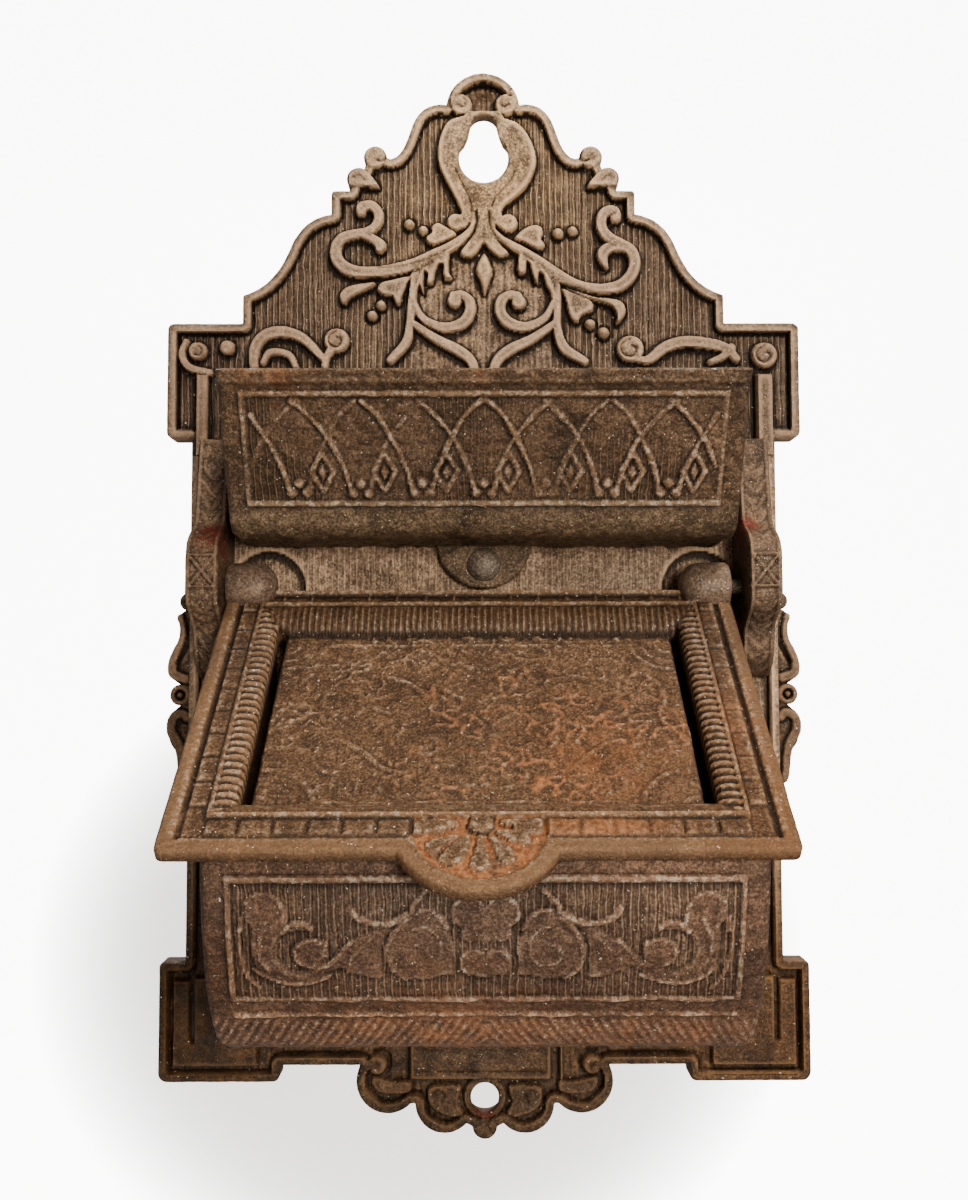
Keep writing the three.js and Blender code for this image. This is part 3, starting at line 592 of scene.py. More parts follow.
    # Leaves that hang from the stems
    leaf([(6.0, 60.8), (5.8, 59.6), (5.7, 58.0), (6.1, 57.2), (6.9, 57.1), (7.4, 57.9), (7.5, 59.2),
          (7.9, 58.8), (8.2, 57.4), (8.8, 55.8), (9.4, 55.6), (9.5, 57.0), (9.9, 57.9), (10.3, 56.4),
          (10.7, 55.0), (11.4, 54.0), (12.2, 55.0), (14.0, 56.4), (11.0, 59.6), (8.0, 61.0)], ORNAMENT,
          moat=0.7, rounded=False)
    leaf([(-5.6, 61.0), (-5.8, 59.4), (-5.8, 57.6), (-5.2, 56.7), (-5.6, 56.3), (-6.6, 56.3), (-7.0, 57.3),
          (-6.9, 58.8), (-7.5, 58.9), (-8.2, 57.4), (-8.5, 55.7), (-9.2, 55.4), (-9.8, 55.6), (-9.6, 57.2),
          (-10.0, 57.6), (-10.2, 55.4), (-10.1, 53.8), (-10.7, 54.6), (-11.4, 56.0), (-12.6, 57.0),
          (-11.0, 59.2), (-8.0, 60.8)], ORNAMENT, moat=0.7, rounded=False)
    # Falling stems, spirals and the low Y stems
    stroke([(11.9, 56.4, 2.4), (12.4, 53.6, 1.7), (12.5, 50.6, 1.4), (12.6, 47.6, 1.5), (13.8, 44.4, 1.8),
            (17.2, 42.2, 1.4)], ORNAMENT)
    stroke([(-11.4, 57.0, 2.0), (-12.0, 54.2, 1.3), (-12.2, 51.6, 1.6), (-12.5, 48.6, 1.4),
            (-13.2, 45.4, 1.6), (-15.8, 42.4, 1.4)], ORNAMENT)
    stroke([(12.0, 52.6, 0.8), (10.8, 50.0, 1.3), (8.8, 48.5, 1.6), (6.5, 48.1, 1.8), (4.2, 48.9, 2.0),
            (2.9, 50.7, 1.9), (3.1, 52.6, 1.8), (4.4, 53.6, 1.5), (5.8, 53.3, 1.8)], ORNAMENT)
    disc((6.0, 52.4), 1.4, ORNAMENT, shoulder=0.5)
    stroke([(-11.9, 52.6, 0.8), (-10.6, 49.9, 1.3), (-8.3, 48.4, 1.6), (-5.8, 48.0, 1.8), (-3.4, 48.9, 2.0),
            (-2.3, 50.7, 1.9), (-2.4, 52.5, 1.8), (-3.6, 53.6, 1.5), (-5.0, 53.4, 1.8)], ORNAMENT)
    disc((-4.9, 52.6), 1.4, ORNAMENT, shoulder=0.5)
    stroke([(12.3, 48.8, 1.2), (8.2, 46.0, 1.6), (4.6, 44.2, 1.9), (2.2, 42.0, 1.7), (1.2, 38.0, 1.5)],
            ORNAMENT)
    stroke([(-12.1, 48.8, 1.2), (-8.0, 46.0, 1.6), (-4.4, 44.1, 1.9), (-2.0, 42.0, 1.7), (-1.2, 38.0, 1.5)],
            ORNAMENT)
    # Curled leaves beside the falling stems
    leaf([(13.0, 55.4), (16.5, 54.2), (19.5, 53.3), (22.6, 53.0), (24.0, 52.2), (24.4, 50.8), (23.7, 49.3),
          (22.5, 48.4), (22.6, 49.7), (22.3, 50.9), (21.4, 51.8), (19.6, 52.4), (16.4, 53.4)], ORNAMENT,
          moat=0.6)
    leaf([(13.2, 54.9), (15.7, 54.0), (18.0, 53.0), (18.9, 52.0), (18.6, 50.8), (17.6, 50.4), (16.6, 49.8),
          (16.1, 48.8), (15.0, 49.3), (14.4, 50.6), (13.9, 52.9)], ORNAMENT - 0.15, moat=0.6)
    leaf([(-18.5, 55.9), (-21.0, 55.7), (-23.3, 55.1), (-24.5, 53.9), (-24.4, 52.5), (-23.5, 52.0),
          (-22.5, 53.1), (-20.6, 54.1), (-18.8, 55.0)], ORNAMENT, moat=0.6)
    leaf([(-12.2, 57.0), (-15.2, 56.5), (-17.5, 55.8), (-18.2, 54.5), (-17.2, 53.6), (-15.6, 53.3),
          (-14.9, 52.0), (-14.0, 52.2), (-13.7, 53.7), (-12.8, 55.6)], ORNAMENT - 0.1, moat=0.6)
    # Shoulders
    stroke([(24.9, 43.2, 1.6), (26.8, 42.4, 1.2), (28.4, 42.6, 1.6), (31.0, 44.6, 1.9), (34.4, 45.5, 2.0),
            (38.0, 45.2, 2.0), (41.0, 44.4, 1.8), (43.0, 42.6, 1.4)], ORNAMENT)
    disc((25.0, 44.3), 2.45, ORNAMENT, shoulder=0.5)
    stroke([(38.6, 42.0, 1.0), (40.8, 43.0, 1.3), (42.2, 44.4, 1.6)], ORNAMENT)
    disc((47.8, 43.2), 2.35, ORNAMENT, shoulder=0.5)
    stroke([(-25.6, 44.6, 1.6), (-26.6, 43.0, 1.2), (-27.0, 41.4, 1.2)], ORNAMENT)
    disc((-25.0, 45.8), 2.25, ORNAMENT, shoulder=0.5)
    stroke([(-27.2, 42.6, 1.2), (-30.8, 46.2, 1.7), (-34.4, 47.3, 2.0), (-37.2, 46.6, 2.0),
            (-38.8, 44.4, 1.9), (-39.0, 41.5, 1.6)], ORNAMENT)
    stroke([(-37.5, 42.0, 1.0), (-36.2, 43.8, 1.2), (-33.2, 43.4, 1.2), (-32.0, 41.4, 1.0)], ORNAMENT - 0.2)
    disc((-48.6, 44.0), 1.7, ORNAMENT, shoulder=0.5)
    disc((-43.6, 44.6), 1.4, ORNAMENT, shoulder=0.5)
    stroke([(-50.6, 45.6, 1.0), (-51.2, 43.2, 1.2), (-49.8, 41.1, 1.3), (-46.6, 40.3, 1.2)], ORNAMENT)
    # Volute lobes and leaf buds at the crest's corners
    for side in (1, -1):
        disc((side * 18.5, 77.7), 2.0, ORNAMENT - 0.1, shoulder=0.4, moat=0.2)
        bud = [(17.8, 72.4), (19.0, 74.4), (20.3, 75.4), (21.8, 75.6), (23.0, 74.8), (23.3, 73.3),
               (22.8, 72.4), (20.7, 72.5)]
        leaf(sided(side, bud), ORNAMENT, moat=0.8)
    # Shoulder tabs' panels
    leaf([(46.2, 24.0), (46.2, 40.0), (49.2, 40.0), (49.2, 24.0)], ORNAMENT + 0.2, rounded=False)
    leaf([(-46.6, 24.0), (-48.8, 24.0), (-48.8, 40.0), (-46.6, 40.0)], ORNAMENT + 0.2, rounded=False)


def cut_crest(relief):
    """Incised lines on the crest's forms."""
    groove = relief.groove
    groove([(5.5, 75.2), (4.3, 73.0), (2.7, 71.2), (1.9, 70.0), (1.5, 69.0)], 0.4, 0.3)
    groove([(-4.8, 75.6), (-3.7, 73.1), (-2.6, 71.0), (-2.1, 69.5), (-1.9, 68.0)], 0.4, 0.3)
    groove([(2.6, 85.0), (1.5, 85.7), (0.0, 85.9), (-1.5, 85.7), (-2.6, 85.0)], 0.4, 0.2)
    groove([(1.0, 68.0), (1.1, 66.0), (1.7, 64.4), (2.9, 62.9), (5.0, 61.3), (5.9, 60.7)], 0.45, 0.5)
    groove([(-1.2, 68.0), (-1.1, 66.4), (-1.6, 64.6), (-2.8, 62.8), (-4.2, 61.2)], 0.45, 0.5)
    groove([(0.0, 66.6), (0.1, 64.5), (0.1, 62.8)], 0.35, 0.15)
    groove([(-0.5, 67.6), (-0.8, 65.4), (-2.2, 62.6)], 0.35, 0.18)
    groove([(0.4, 67.6), (0.8, 65.2), (2.4, 62.4)], 0.35, 0.18)
    groove([(3.4, 63.9), (6.4, 62.2), (9.6, 60.2), (13.0, 57.6), (16.8, 56.0), (20.4, 55.5)], 0.35, 0.22)
    groove([(3.4, 61.9), (6.2, 60.9), (8.6, 59.4)], 0.35, 0.25)
    groove([(13.0, 55.6), (16.4, 54.6), (19.6, 53.7)], 0.4, 0.35)
    groove([(9.9, 58.8), (11.8, 56.0), (12.2, 54.2)], 0.35, 0.22)
    groove([(-3.2, 63.2), (-6.6, 61.2), (-10.5, 59.5), (-15.0, 58.4), (-20.0, 58.1)], 0.35, 0.22)
    groove([(-8.6, 59.4), (-11.2, 57.8), (-12.8, 57.2), (-16.0, 56.7)], 0.35, 0.25)
    groove([(-10.2, 58.8), (-11.2, 56.6), (-11.8, 54.4)], 0.35, 0.22)
    groove([(4.2, 67.0), (3.6, 66.4), (4.2, 65.8), (4.8, 66.3)], 0.35, 0.2)
    groove([(4.4, 52.6), (4.9, 51.6), (5.8, 50.9), (6.9, 51.2)], 0.4, 0.4)
    groove([(21.5, 66.6), (21.9, 67.4), (22.6, 67.8)], 0.4, 0.4)
    groove([(25.0, 46.0), (23.4, 45.0), (23.7, 43.4), (25.3, 43.0), (26.0, 44.2), (25.2, 44.9)], 0.4, 0.4)
    groove([(-25.0, 47.4), (-26.4, 46.3), (-26.0, 45.0), (-24.8, 44.7), (-24.1, 45.8), (-24.9, 46.3)], 0.4,
            0.4)
    groove([(47.8, 44.8), (46.4, 43.8), (46.7, 42.4), (48.0, 42.0), (48.8, 43.1), (48.1, 43.7)], 0.4, 0.4)
    groove([(-48.6, 45.0), (-47.8, 44.2), (-48.2, 43.2), (-49.2, 43.4)], 0.35, 0.4)
    for side in (1, -1):
        groove(sided(side, [(16.9, 78.6), (16.7, 77.6), (17.4, 76.9), (18.2, 77.2)]), 0.45, 0.4)
        groove(sided(side, [(20.4, 73.6), (21.2, 74.4), (22.3, 74.0)]), 0.4, 0.25)
        groove(sided(side, [(4.9, 88.4), (3.6, 88.2), (2.9, 87.2), (3.5, 86.4), (4.3, 86.8)]), 0.4, 0.35)


def draw_foot(relief):
    """Frets, ears, lobes, plaque and hole boss along the foot."""
    stroke, disc, leaf = relief.stroke, relief.disc, relief.leaf
    relief.lined *= 1 - ramp(-relief.v - 56.0, 1.0)
    relief.lined *= 0.4
    behind_lid = relief.v > -20.0
    relief.ground[behind_lid] = 0.5 * (relief.ground[behind_lid] + GROUND)
    fret = [(45.0, -60.8), (47.9, -60.8), (47.9, -71.2), (48.6, -71.2), (48.6, -61.2), (51.5, -61.2),
            (51.5, -75.2), (37.4, -75.2), (37.4, -71.4), (34.6, -71.4), (34.6, -66.0), (45.0, -66.0)]
    panel = [(19.0, -60.0), (33.2, -60.0), (33.2, -72.9), (20.6, -72.9), (19.0, -71.4)]
    ear = [(20.4, -75.6, 1.2), (20.3, -78.6, 1.3), (17.0, -81.8, 1.4), (12.6, -81.2, 1.4)]
    ear_fill = [(14.6, -77.6), (16.2, -77.2), (18.4, -76.8), (18.6, -78.4), (17.2, -79.6), (13.4, -79.8),
                (12.0, -79.0), (12.2, -77.6)]
    lobe = [(10.9, -80.6, 1.1), (10.0, -83.4, 1.3), (6.6, -85.2, 1.4), (2.8, -84.4, 1.3)]
    lobe_fill = [(4.0, -78.3), (8.8, -78.4), (9.6, -80.2), (8.6, -82.2), (5.6, -83.5), (3.4, -83.0),
                 (4.3, -81.0)]
    for side in (1, -1):
        leaf(sided(side, fret), RIM - 0.25, rounded=False, moat=0.5, shoulder=0.25)
        leaf(sided(side, panel), RIM - 0.6, rounded=False, moat=0.3)
        stroke(sided(side, ear), RIM, moat=0.6)
        disc((side * 17.7, -75.0), 1.7, RIM - 0.1, moat=0.5, shoulder=0.4)
        leaf(sided(side, ear_fill), RIM - 0.2, moat=0.5)
        stroke(sided(side, lobe), RIM, moat=0.6)
        leaf(sided(side, lobe_fill), RIM - 0.2, moat=0.5)
    leaf([(-12.4, -70.4), (11.0, -70.4), (11.0, -77.4), (-12.4, -77.4)], RIM + 0.3, rounded=False, moat=0.3)
    stroke([(12.6, -71.4, 0.5), (12.6, -77.2, 0.5)], RIM, moat=0.2)
    disc(SCREW_HOLE_AT, 3.6, RIM - 0.1, moat=0.6, shoulder=0.5)
    disc((0.0, -85.1), 1.95, RIM - 0.2, moat=0.4, shoulder=1.4)
    relief.cuts *= 0.6
    below_box = relief.v < -56.0
    relief.clean[below_box] = 0.5
    relief.worn -= 0.3 * below_box


def cut_foot(relief):
    """Incised frames, spirals and the ring round the screw hole."""
    groove = relief.groove
    groove([(-11.0, -72.6), (9.9, -72.6), (9.9, -76.0), (-11.0, -76.0)], 0.45, 0.3, steps=1, closed=True)
    groove(circle(SCREW_HOLE_AT, 3.0), 0.4, 0.2, steps=1, closed=True)
    for side in (1, -1):
        groove(sided(side, [(18.2, -73.0), (16.6, -73.0), (15.7, -74.6), (16.2, -76.4)]), 0.7, 0.6)
        groove(sided(side, [(17.5, -75.4), (18.0, -74.9)]), 0.5, 0.5)
        groove(sided(side, [(7.0, -81.0), (6.8, -79.8), (7.8, -79.3), (8.6, -80.2)]), 0.5, 0.45)
        groove(sided(side, [(37.6, -76.7), (51.2, -76.7)]), 0.35, 0.2, steps=1)
        groove(sided(side, [(48.9, -62.0), (51.2, -62.0)]), 0.35, 0.15, steps=1)


# The plate is two meshes, cut where the pocket hides it, so that the ornament gets a fine grid
CUT_LEVEL = 26.0
HOLE_DRAFT = 0.8
CREST_CELL = 0.23
FOOT_CELL = 0.25
# Round recesses behind the lid's knuckles
RECESS_ACROSS = 36.4
RECESS_UP = 3.6
RECESS_RADIUS = 6.4
RECESS_DEEP = 0.9


def build_plate(name, vs, cell, above, draw, cut):
    """The part of the back plate above or below the cut level, over grid rows at vs."""
    outline = plate_outline()
    relief = Relief(spaced((-TABS_HALF - cell, TABS_HALF + cell, cell)), vs, GROUND)
    draw_rim(relief, outline)
    draw(relief)
    recess = np.hypot(np.abs(relief.u) - RECESS_ACROSS, relief.v - RECESS_UP) - RECESS_RADIUS
    relief.ground -= RECESS_DEEP * ramp(-recess, 0.4)
    relief.settle()
    cut(relief)
    surface = relief.finish(0.035, cell)
    holes = [KEYHOLE, SCREW_HOLE]
    thing = plate_piece(name, relief, surface, outline, holes, on_wall, CUT_LEVEL, above, HOLE_DRAFT)
    return stands_for(thing, "holder", "back_plate")


crest_rows = spaced((CUT_LEVEL, 38.0, 0.5), (38.0, CREST_TOP + 0.3, CREST_CELL))
plate_crest = build_plate("plate_crest", crest_rows, CREST_CELL, True, draw_crest, cut_crest)
hidden_rows = ((-58.0, -4.0, 1.5), (-4.0, 14.0, 0.4), (14.0, CUT_LEVEL, 1.5))
foot_rows = spaced((FOOT_BOTTOM - 0.3, -58.0, FOOT_CELL), *hidden_rows)
plate_foot = build_plate("plate_foot", foot_rows, FOOT_CELL, False, draw_foot, cut_foot)


# Swept surfaces
def resampled(points, step):
    """Points at even steps along a run of points, and how far along it each one lies."""
    length = np.concatenate(([0.0], np.cumsum(np.hypot(*np.diff(points, axis=0).T))))
    marks = np.linspace(0, length[-1], max(2, int(round(length[-1] / step)) + 1))
    return np.column_stack([np.interp(marks, length, points[:, k]) for k in (0, 1)]), marks


def outward(points):
    """Unit directions to the right of a run of points, taken from a slightly smoothed copy."""
    run = points.copy()
    for _ in range(3):
        run[1:-1] = (run[:-2] + 2 * run[1:-1] + run[2:]) / 4
    way = np.gradient(run, axis=0)
    way /= np.hypot(*way.T)[:, None]
    return np.column_stack((way[:, 1], -way[:, 0]))


def lifted(line, normals, height):
    """The outs and the heights z of a profile's surface, raised along its normals."""
    return [line[:, None, k] + normals[:, None, k] * height for k in (0, 1)]


def grid_faces(number):
    """The four corners of every cell of a grid of point numbers."""
    corners = (number[:-1, :-1], number[:-1, 1:], number[1:, 1:], number[1:, :-1])
    return np.stack(corners, axis=-1).reshape(-1, 4)


# Hinge cheeks
CHEEK_INNER = 42.1
CHEEK_OUTER = 47.4
CHEEK_ROUND = 0.4


def cheek_profile():
    """The cheek's front edge as (out, z), from its foot up."""
    return path(
        (2.5, -11.6),
        bend((2.5, -11.6), (6.0, -11.4), (9.2, -10.2), (9.8, -7.0)),
        (10.2, -4.4),
        bend((10.2, -4.4), (10.6, -1.6), (16.0, -1.6), (16.0, 2.6)),
        (16.0, 7.6),
        bend((16.0, 7.6), (16.0, 12.4), (10.6, 12.0), (9.8, 14.4)),
        (7.2, 27.4),
        arc((6.2, 27.4), 1.0, 0, 90, 5),
        (2.5, 28.4),
    )


def draw_cheek(relief, line):
    """Beads along both edges, a crossed square at the pin and pairs of leaves above and below it."""
    marks = relief.vs
    middle = (CHEEK_INNER + CHEEK_OUTER) / 2
    low, high = (marks[np.argmin(np.abs(line[:, 1] - z))] for z in (3.2, 8.2))

    def bead(a, b, width=0.25, moat=0.35):
        relief.stroke([(*a, width), (*b, width)], 0.25, moat=moat, shoulder=0.3, steps=1)

    for x in (CHEEK_INNER + 0.45, CHEEK_OUTER - 0.45):
        bead((x, marks[0]), (x, marks[-1]), 0.3, 0.1)
    for s in (low, high):
        bead((CHEEK_INNER + 0.6, s), (CHEEK_OUTER - 0.6, s), moat=0.2)
    left, right = CHEEK_INNER + 0.9, CHEEK_OUTER - 0.9
    bead((left, low + 0.4), (right, high - 0.4))
    bead((left, high - 0.4), (right, low + 0.4))
    for start, step in ((high + 4.0, 2.6), (low - 4.0, -2.6)):
        for s in start + step * np.arange(6):
            if marks[0] + 4 < s < marks[-1] - 3:
                for turn in (1, -1):
                    leaf = [(0.0, s - 0.8, 0.3), (turn * 0.8, s + 0.2, 0.7), (turn * 1.5, s + 1.4, 0.4)]
                    leaf = [(middle + dx, mark, width) for dx, mark, width in leaf]
                    relief.stroke(leaf, 0.2, moat=0.1, shoulder=0.5)


def build_cheek(side):
    line, marks = resampled(cheek_profile(), 0.3)
    relief = Relief(np.linspace(CHEEK_INNER, CHEEK_OUTER, 19), marks, 0.0)
    draw_cheek(relief, line)
    relief.settle()
    height, shares = relief.finish(0.03)
    away = np.minimum(relief.u - CHEEK_INNER, CHEEK_OUTER - relief.u)
    out, up = lifted(line, outward(line), height - quarter_round(away, CHEEK_ROUND))
    points = np.column_stack((side * relief.u.ravel(), -out.ravel(), up.ravel()))
    number = numbered(height.shape)
    rear = [number[0, 0], number[-1, 0], number[-1, -1], number[0, -1]]
    faces = grid_faces(number).tolist() + [number[:, 0].tolist(), number[::-1, -1].tolist(), rear]
    thing = make_mesh(f"cheek_{SIDE_NAMES[side]}", points, faces, kept_shares(shares, slice(None), 0))
    return stands_for(thing, "holder", "back_plate")


cheeks = [build_cheek(side) for side in (1, -1)]


# Scrolls beside the box
SCROLL_CELL = 0.2
EYE_AT = (51.0, -14.3)
SCROLL_OUTLINES = {
    "bead": circle((49.9, 1.4), 1.5),
    "lobe": smooth([(48.6, -0.6), (51.6, -0.9), (51.2, -2.8), (51.4, -5.0), (52.5, -7.1), (53.3, -9.4),
                    (52.7, -11.5), (48.6, -12.4)], closed=True),
    "eye": circle(EYE_AT, 1.8),
    "hook": smooth([(48.6, -16.2), (52.0, -16.8), (53.3, -19.4), (52.8, -22.1), (51.6, -24.3), (51.3, -27.4),
                    (50.5, -29.2), (48.6, -31.0)], closed=True),
}
SCROLL_BANDS = {
    "lobe": [(51.2, -1.2, 1.0), (50.8, -4.4, 1.2), (52.2, -8.2, 1.3), (52.2, -10.6, 1.4), (50.2, -11.6, 1.4)],
    "hook": [(49.8, -18.2, 1.2), (50.6, -17.4, 1.3), (52.2, -18.2, 1.5), (52.4, -20.4, 1.5),
             (51.0, -23.2, 1.4), (50.4, -28.4, 1.2)],
}


def build_scroll(side, label):
    outline = SCROLL_OUTLINES[label]
    relief = Relief(*grid_round(outline, SCROLL_CELL), GROUND)
    if label in SCROLL_BANDS:
        relief.stroke(SCROLL_BANDS[label], GROUND + 0.7)
    if label == "eye":
        ring = np.abs(np.hypot(relief.u - EYE_AT[0], relief.v - EYE_AT[1]) - 1.3) - 0.5
        relief.lift(EVERYWHERE, ring, GROUND + 0.6, shoulder=0.3)
        relief.disc(EYE_AT, 0.55, GROUND + 0.9, shoulder=0.4)
    relief.settle()
    if label == "lobe":
        relief.groove([(49.4, -5.2), (50.4, -7.0), (51.6, -8.9)], 0.5, 0.5)

    def place(rows):
        return on_wall(rows * (side, 1, 1))

    surface = relief.finish(0.03, SCROLL_CELL)
    thing = plate_piece(f"scroll_{label}_{SIDE_NAMES[side]}", relief, surface, outline, [], place)
    return stands_for(thing, "holder", "back_plate")


scrolls = [build_scroll(side, label) for side in (1, -1) for label in SCROLL_OUTLINES]


# Open tubs: the pocket and the match box
CORNER = 1.2
LIP = 0.5


def tub_columns(half, step):
    """Places across a tub, closer together round its corners."""
    turn = half - CORNER + CORNER * np.sin(np.radians(np.linspace(0, 90, 6)))
    flat = np.linspace(-half + CORNER, half - CORNER, int(round(2 * (half - CORNER) / step)) + 1)
    return np.concatenate((-turn[:0:-1], flat, turn[1:]))


def build_tub(name, line, marks, half, wall, side_top, relief, surface, mouth):
    """A shell swept across from a profile of (out, z) points, from its rear edge to its mouth. side_top holds
    the (out, z) corners of the sides' upper edges, and mouth gives the highest z at an out."""
    height, shares = surface
    xs = relief.us
    normals = outward(line)
    lift = height - quarter_round(half - np.abs(xs), CORNER)[None, :]
    lift = lift - quarter_round(marks[-1] - marks, LIP)[:, None]
    shape = lift.shape
    out, up = lifted(line, normals, lift)
    out = np.maximum(out, GROUND)
    up = np.minimum(up, mouth(out))
    outer = np.column_stack((np.broadcast_to(xs, shape).ravel(), -out.ravel(), up.ravel()))
    inner_line = line - normals * wall
    in_out = np.maximum(np.broadcast_to(inner_line[:, None, 0], shape), GROUND)
    in_up = np.minimum(np.broadcast_to(inner_line[:, None, 1], shape), mouth(in_out))
    in_up[-1] = mouth(in_out[-1])
    inner_x = np.broadcast_to(xs * (half - wall) / half, shape)
    inner = np.column_stack((inner_x.ravel(), -in_out.ravel(), in_up.ravel()))
    rows, columns = shape
    number = numbered(shape)
    quads = grid_faces(number)
    count = rows * columns
    faces = quads.tolist() + (quads[:, ::-1] + count).tolist()
    points = [outer, inner]
    total = 2 * count
    for sign, column in ((1, columns - 1), (-1, 0)):
        extra = []
        for place, x in ((0, half), (count, half - wall)):
            corners = np.array([(sign * x, -o, z) for o, z in side_top])
            points.append(corners)
            ids = list(range(total, total + len(corners)))
            total += len(corners)
            face = (number[:, column] + place).tolist() + ids
            faces.append(face if (sign > 0) == (place == 0) else face[::-1])
            extra.append(ids)
        outer_edge = [number[-1, column]] + extra[0] + [number[0, column]]
        inner_edge = [number[-1, column] + count] + extra[1] + [number[0, column] + count]
        for a, b, c, d in zip(outer_edge, outer_edge[1:], inner_edge[1:], inner_edge):
            faces.append([a, b, c, d] if sign > 0 else [d, c, b, a])
    for row, turn in ((rows - 1, True), (0, False)):
        for a, b in zip(number[row, :-1], number[row, 1:]):
            face = [a, b, b + count, a + count]
            faces.append(face if turn else face[::-1])
    return make_mesh(name, np.vstack(points), faces, kept_shares(shares, slice(None), total - count))


# Pocket
POCKET_HALF = 39.5
POCKET_WALL = 1.8
POCKET_FLOOR = 10.6
POCKET_KNEE = (21.2, 13.4)
POCKET_TOP = 34.0
POCKET_BAND = 0.42
ARCH_PITCH = 9.4
PANEL_START = 2.1
PANEL_HALF = 36.0
PANEL_LOW = 4.3
PANEL_HIGH = 21.5


def draw_pocket(relief):
    """Interlaced pointed arches, lozenges and trefoils on the pocket's front, soft and worn."""
    stroke, top = relief.stroke, POCKET_BAND
    for z in (PANEL_LOW, PANEL_HIGH):
        stroke([(-PANEL_HALF, z, 0.7), (PANEL_HALF, z, 0.7)], top, steps=1, moat=0.15)
    for side in (1, -1):
        stroke([(side * PANEL_HALF, PANEL_LOW, 0.6), (side * PANEL_HALF, PANEL_HIGH, 0.6)], top, steps=1,
                moat=0.15)
    relief.ground += 0.35 * ramp(relief.v - 22.8, 0.6)
    relief.lined[:] = ((relief.v > 4.8) & (relief.v < 21.2) & (np.abs(relief.u) < 35.6)) * 1.0
    relief.lined *= np.clip(0.45 + 0.5 * grain(relief.u.shape, 14.0), 0.05, 0.9)
    for k in range(-4, 5):
        x = k * ARCH_PITCH
        for way in (1, -1):
            lean = 0.5 * math.sin(3.1 * k + way)
            points = [(x + lean, 20.4), (x + way * 2.4 + lean, 18.2), (x + way * 5.0, 14.4),
                      (x + way * 6.9, 10.2), (x + way * 8.0, 6.0)]
            points = [(a, b, 0.55 + 0.2 * math.sin(2.3 * k + b)) for a, b in points if abs(a) < 35.4]
            share = 1.0 if way > 0 else 0.35 if x < 0 else 0.8
            if len(points) > 1:
                stroke(points, (top + 0.12) * share, moat=0.28 * share, shoulder=0.3)
        centre = x + ARCH_PITCH / 2 - 1.0
        if abs(centre) < 33:
            lozenge = [(centre, 12.4, 0.5), (centre + 1.7, 9.4, 0.6), (centre, 6.2, 0.5),
                       (centre - 1.7, 9.4, 0.6), (centre, 12.4, 0.5)]
            stroke(lozenge, top + 0.05, moat=0.25, steps=1, shoulder=0.3)
            relief.leaf([(centre, 10.6), (centre + 0.7, 9.3), (centre, 7.8), (centre - 0.7, 9.3)], top,
                         rounded=False)
        if abs(x) < 34:
            for dx, dz in ((0, 1.2), (1.2, -0.3), (-1.2, -0.3)):
                relief.disc((x + dx, 6.3 + dz), 0.85, top + 0.05, moat=0.3)
    relief.wear(1.0 * (relief.v > 4.8) * (relief.v < 21.0), 0.35, 5.0)


def build_pocket():
    knee = bend((17.0, POCKET_FLOOR), (19.1, 10.73), (20.53, 11.67), POCKET_KNEE)
    line, marks = resampled(path((GROUND, POCKET_FLOOR), knee, (31.9, POCKET_TOP)), 0.3)
    relief = Relief(tub_columns(POCKET_HALF, 0.3), marks, 0.0)
    relief.count_from(np.interp(POCKET_KNEE[1], line[:, 1], marks), PANEL_START)
    draw_pocket(relief)
    relief.settle()

    def mouth(out):
        return np.full(np.shape(out), POCKET_TOP)

    thing = build_tub("pocket_casting", line, marks, POCKET_HALF, POCKET_WALL, [(GROUND, POCKET_TOP)], relief,
                      relief.finish(0.085), mouth)
    return stands_for(thing, "holder", "upper_pocket")


pocket = build_pocket()


def build_lug():
    """The half-round lug under the pocket's floor, with a boss round its rivet."""
    outline = arc((0, 11.4), 8.0, -187, 7, 40)
    relief = Relief(*grid_round(outline, 0.3), 2.2)
    relief.disc((0, 7.4), 3.4, 2.35, moat=0.0, shoulder=0.8)
    relief.settle()

    def place(rows):
        return on_wall(rows) - (0, GROUND, 0)

    thing = plate_piece("pocket_lug", relief, relief.finish(0.05), outline, [], place)
    return stands_for(thing, "holder", "upper_pocket")


lug = build_lug()


# Match box
HINGE_OUT = 8.5
HINGE_UP = 3.4
LID_SLOPE = math.radians(38.4)
BOX_HALF = 36.8
BOX_FLOOR = -63.6
BOX_WALL = 2.0
BOX_CELL = 0.32
# The mouth lies this far under the hinge, square to the lid, and is level nearer the wall than MOUTH_LEVEL
MOUTH_UNDER = -2.37
MOUTH_LEVEL = 10.9
# The forms on the front are counted down from this height, along the front
FIELD_TOP = -30.0
FIELD_HALF = 33.2
BOX_MASS = 0.26
BOX_EDGE = 0.5
RIDGE_PITCH = 1.35
RIDGE_LEAN = 0.45


def box_mouth(out):
    """The highest z of the box at a distance from the wall: a plane just under the lid, level at the rear."""
    sloping = np.maximum(out, MOUTH_LEVEL)
    along = (HINGE_OUT + MOUTH_UNDER * math.sin(LID_SLOPE) - sloping) / math.cos(LID_SLOPE)
    return HINGE_UP + along * math.sin(LID_SLOPE) + MOUTH_UNDER * math.cos(LID_SLOPE)


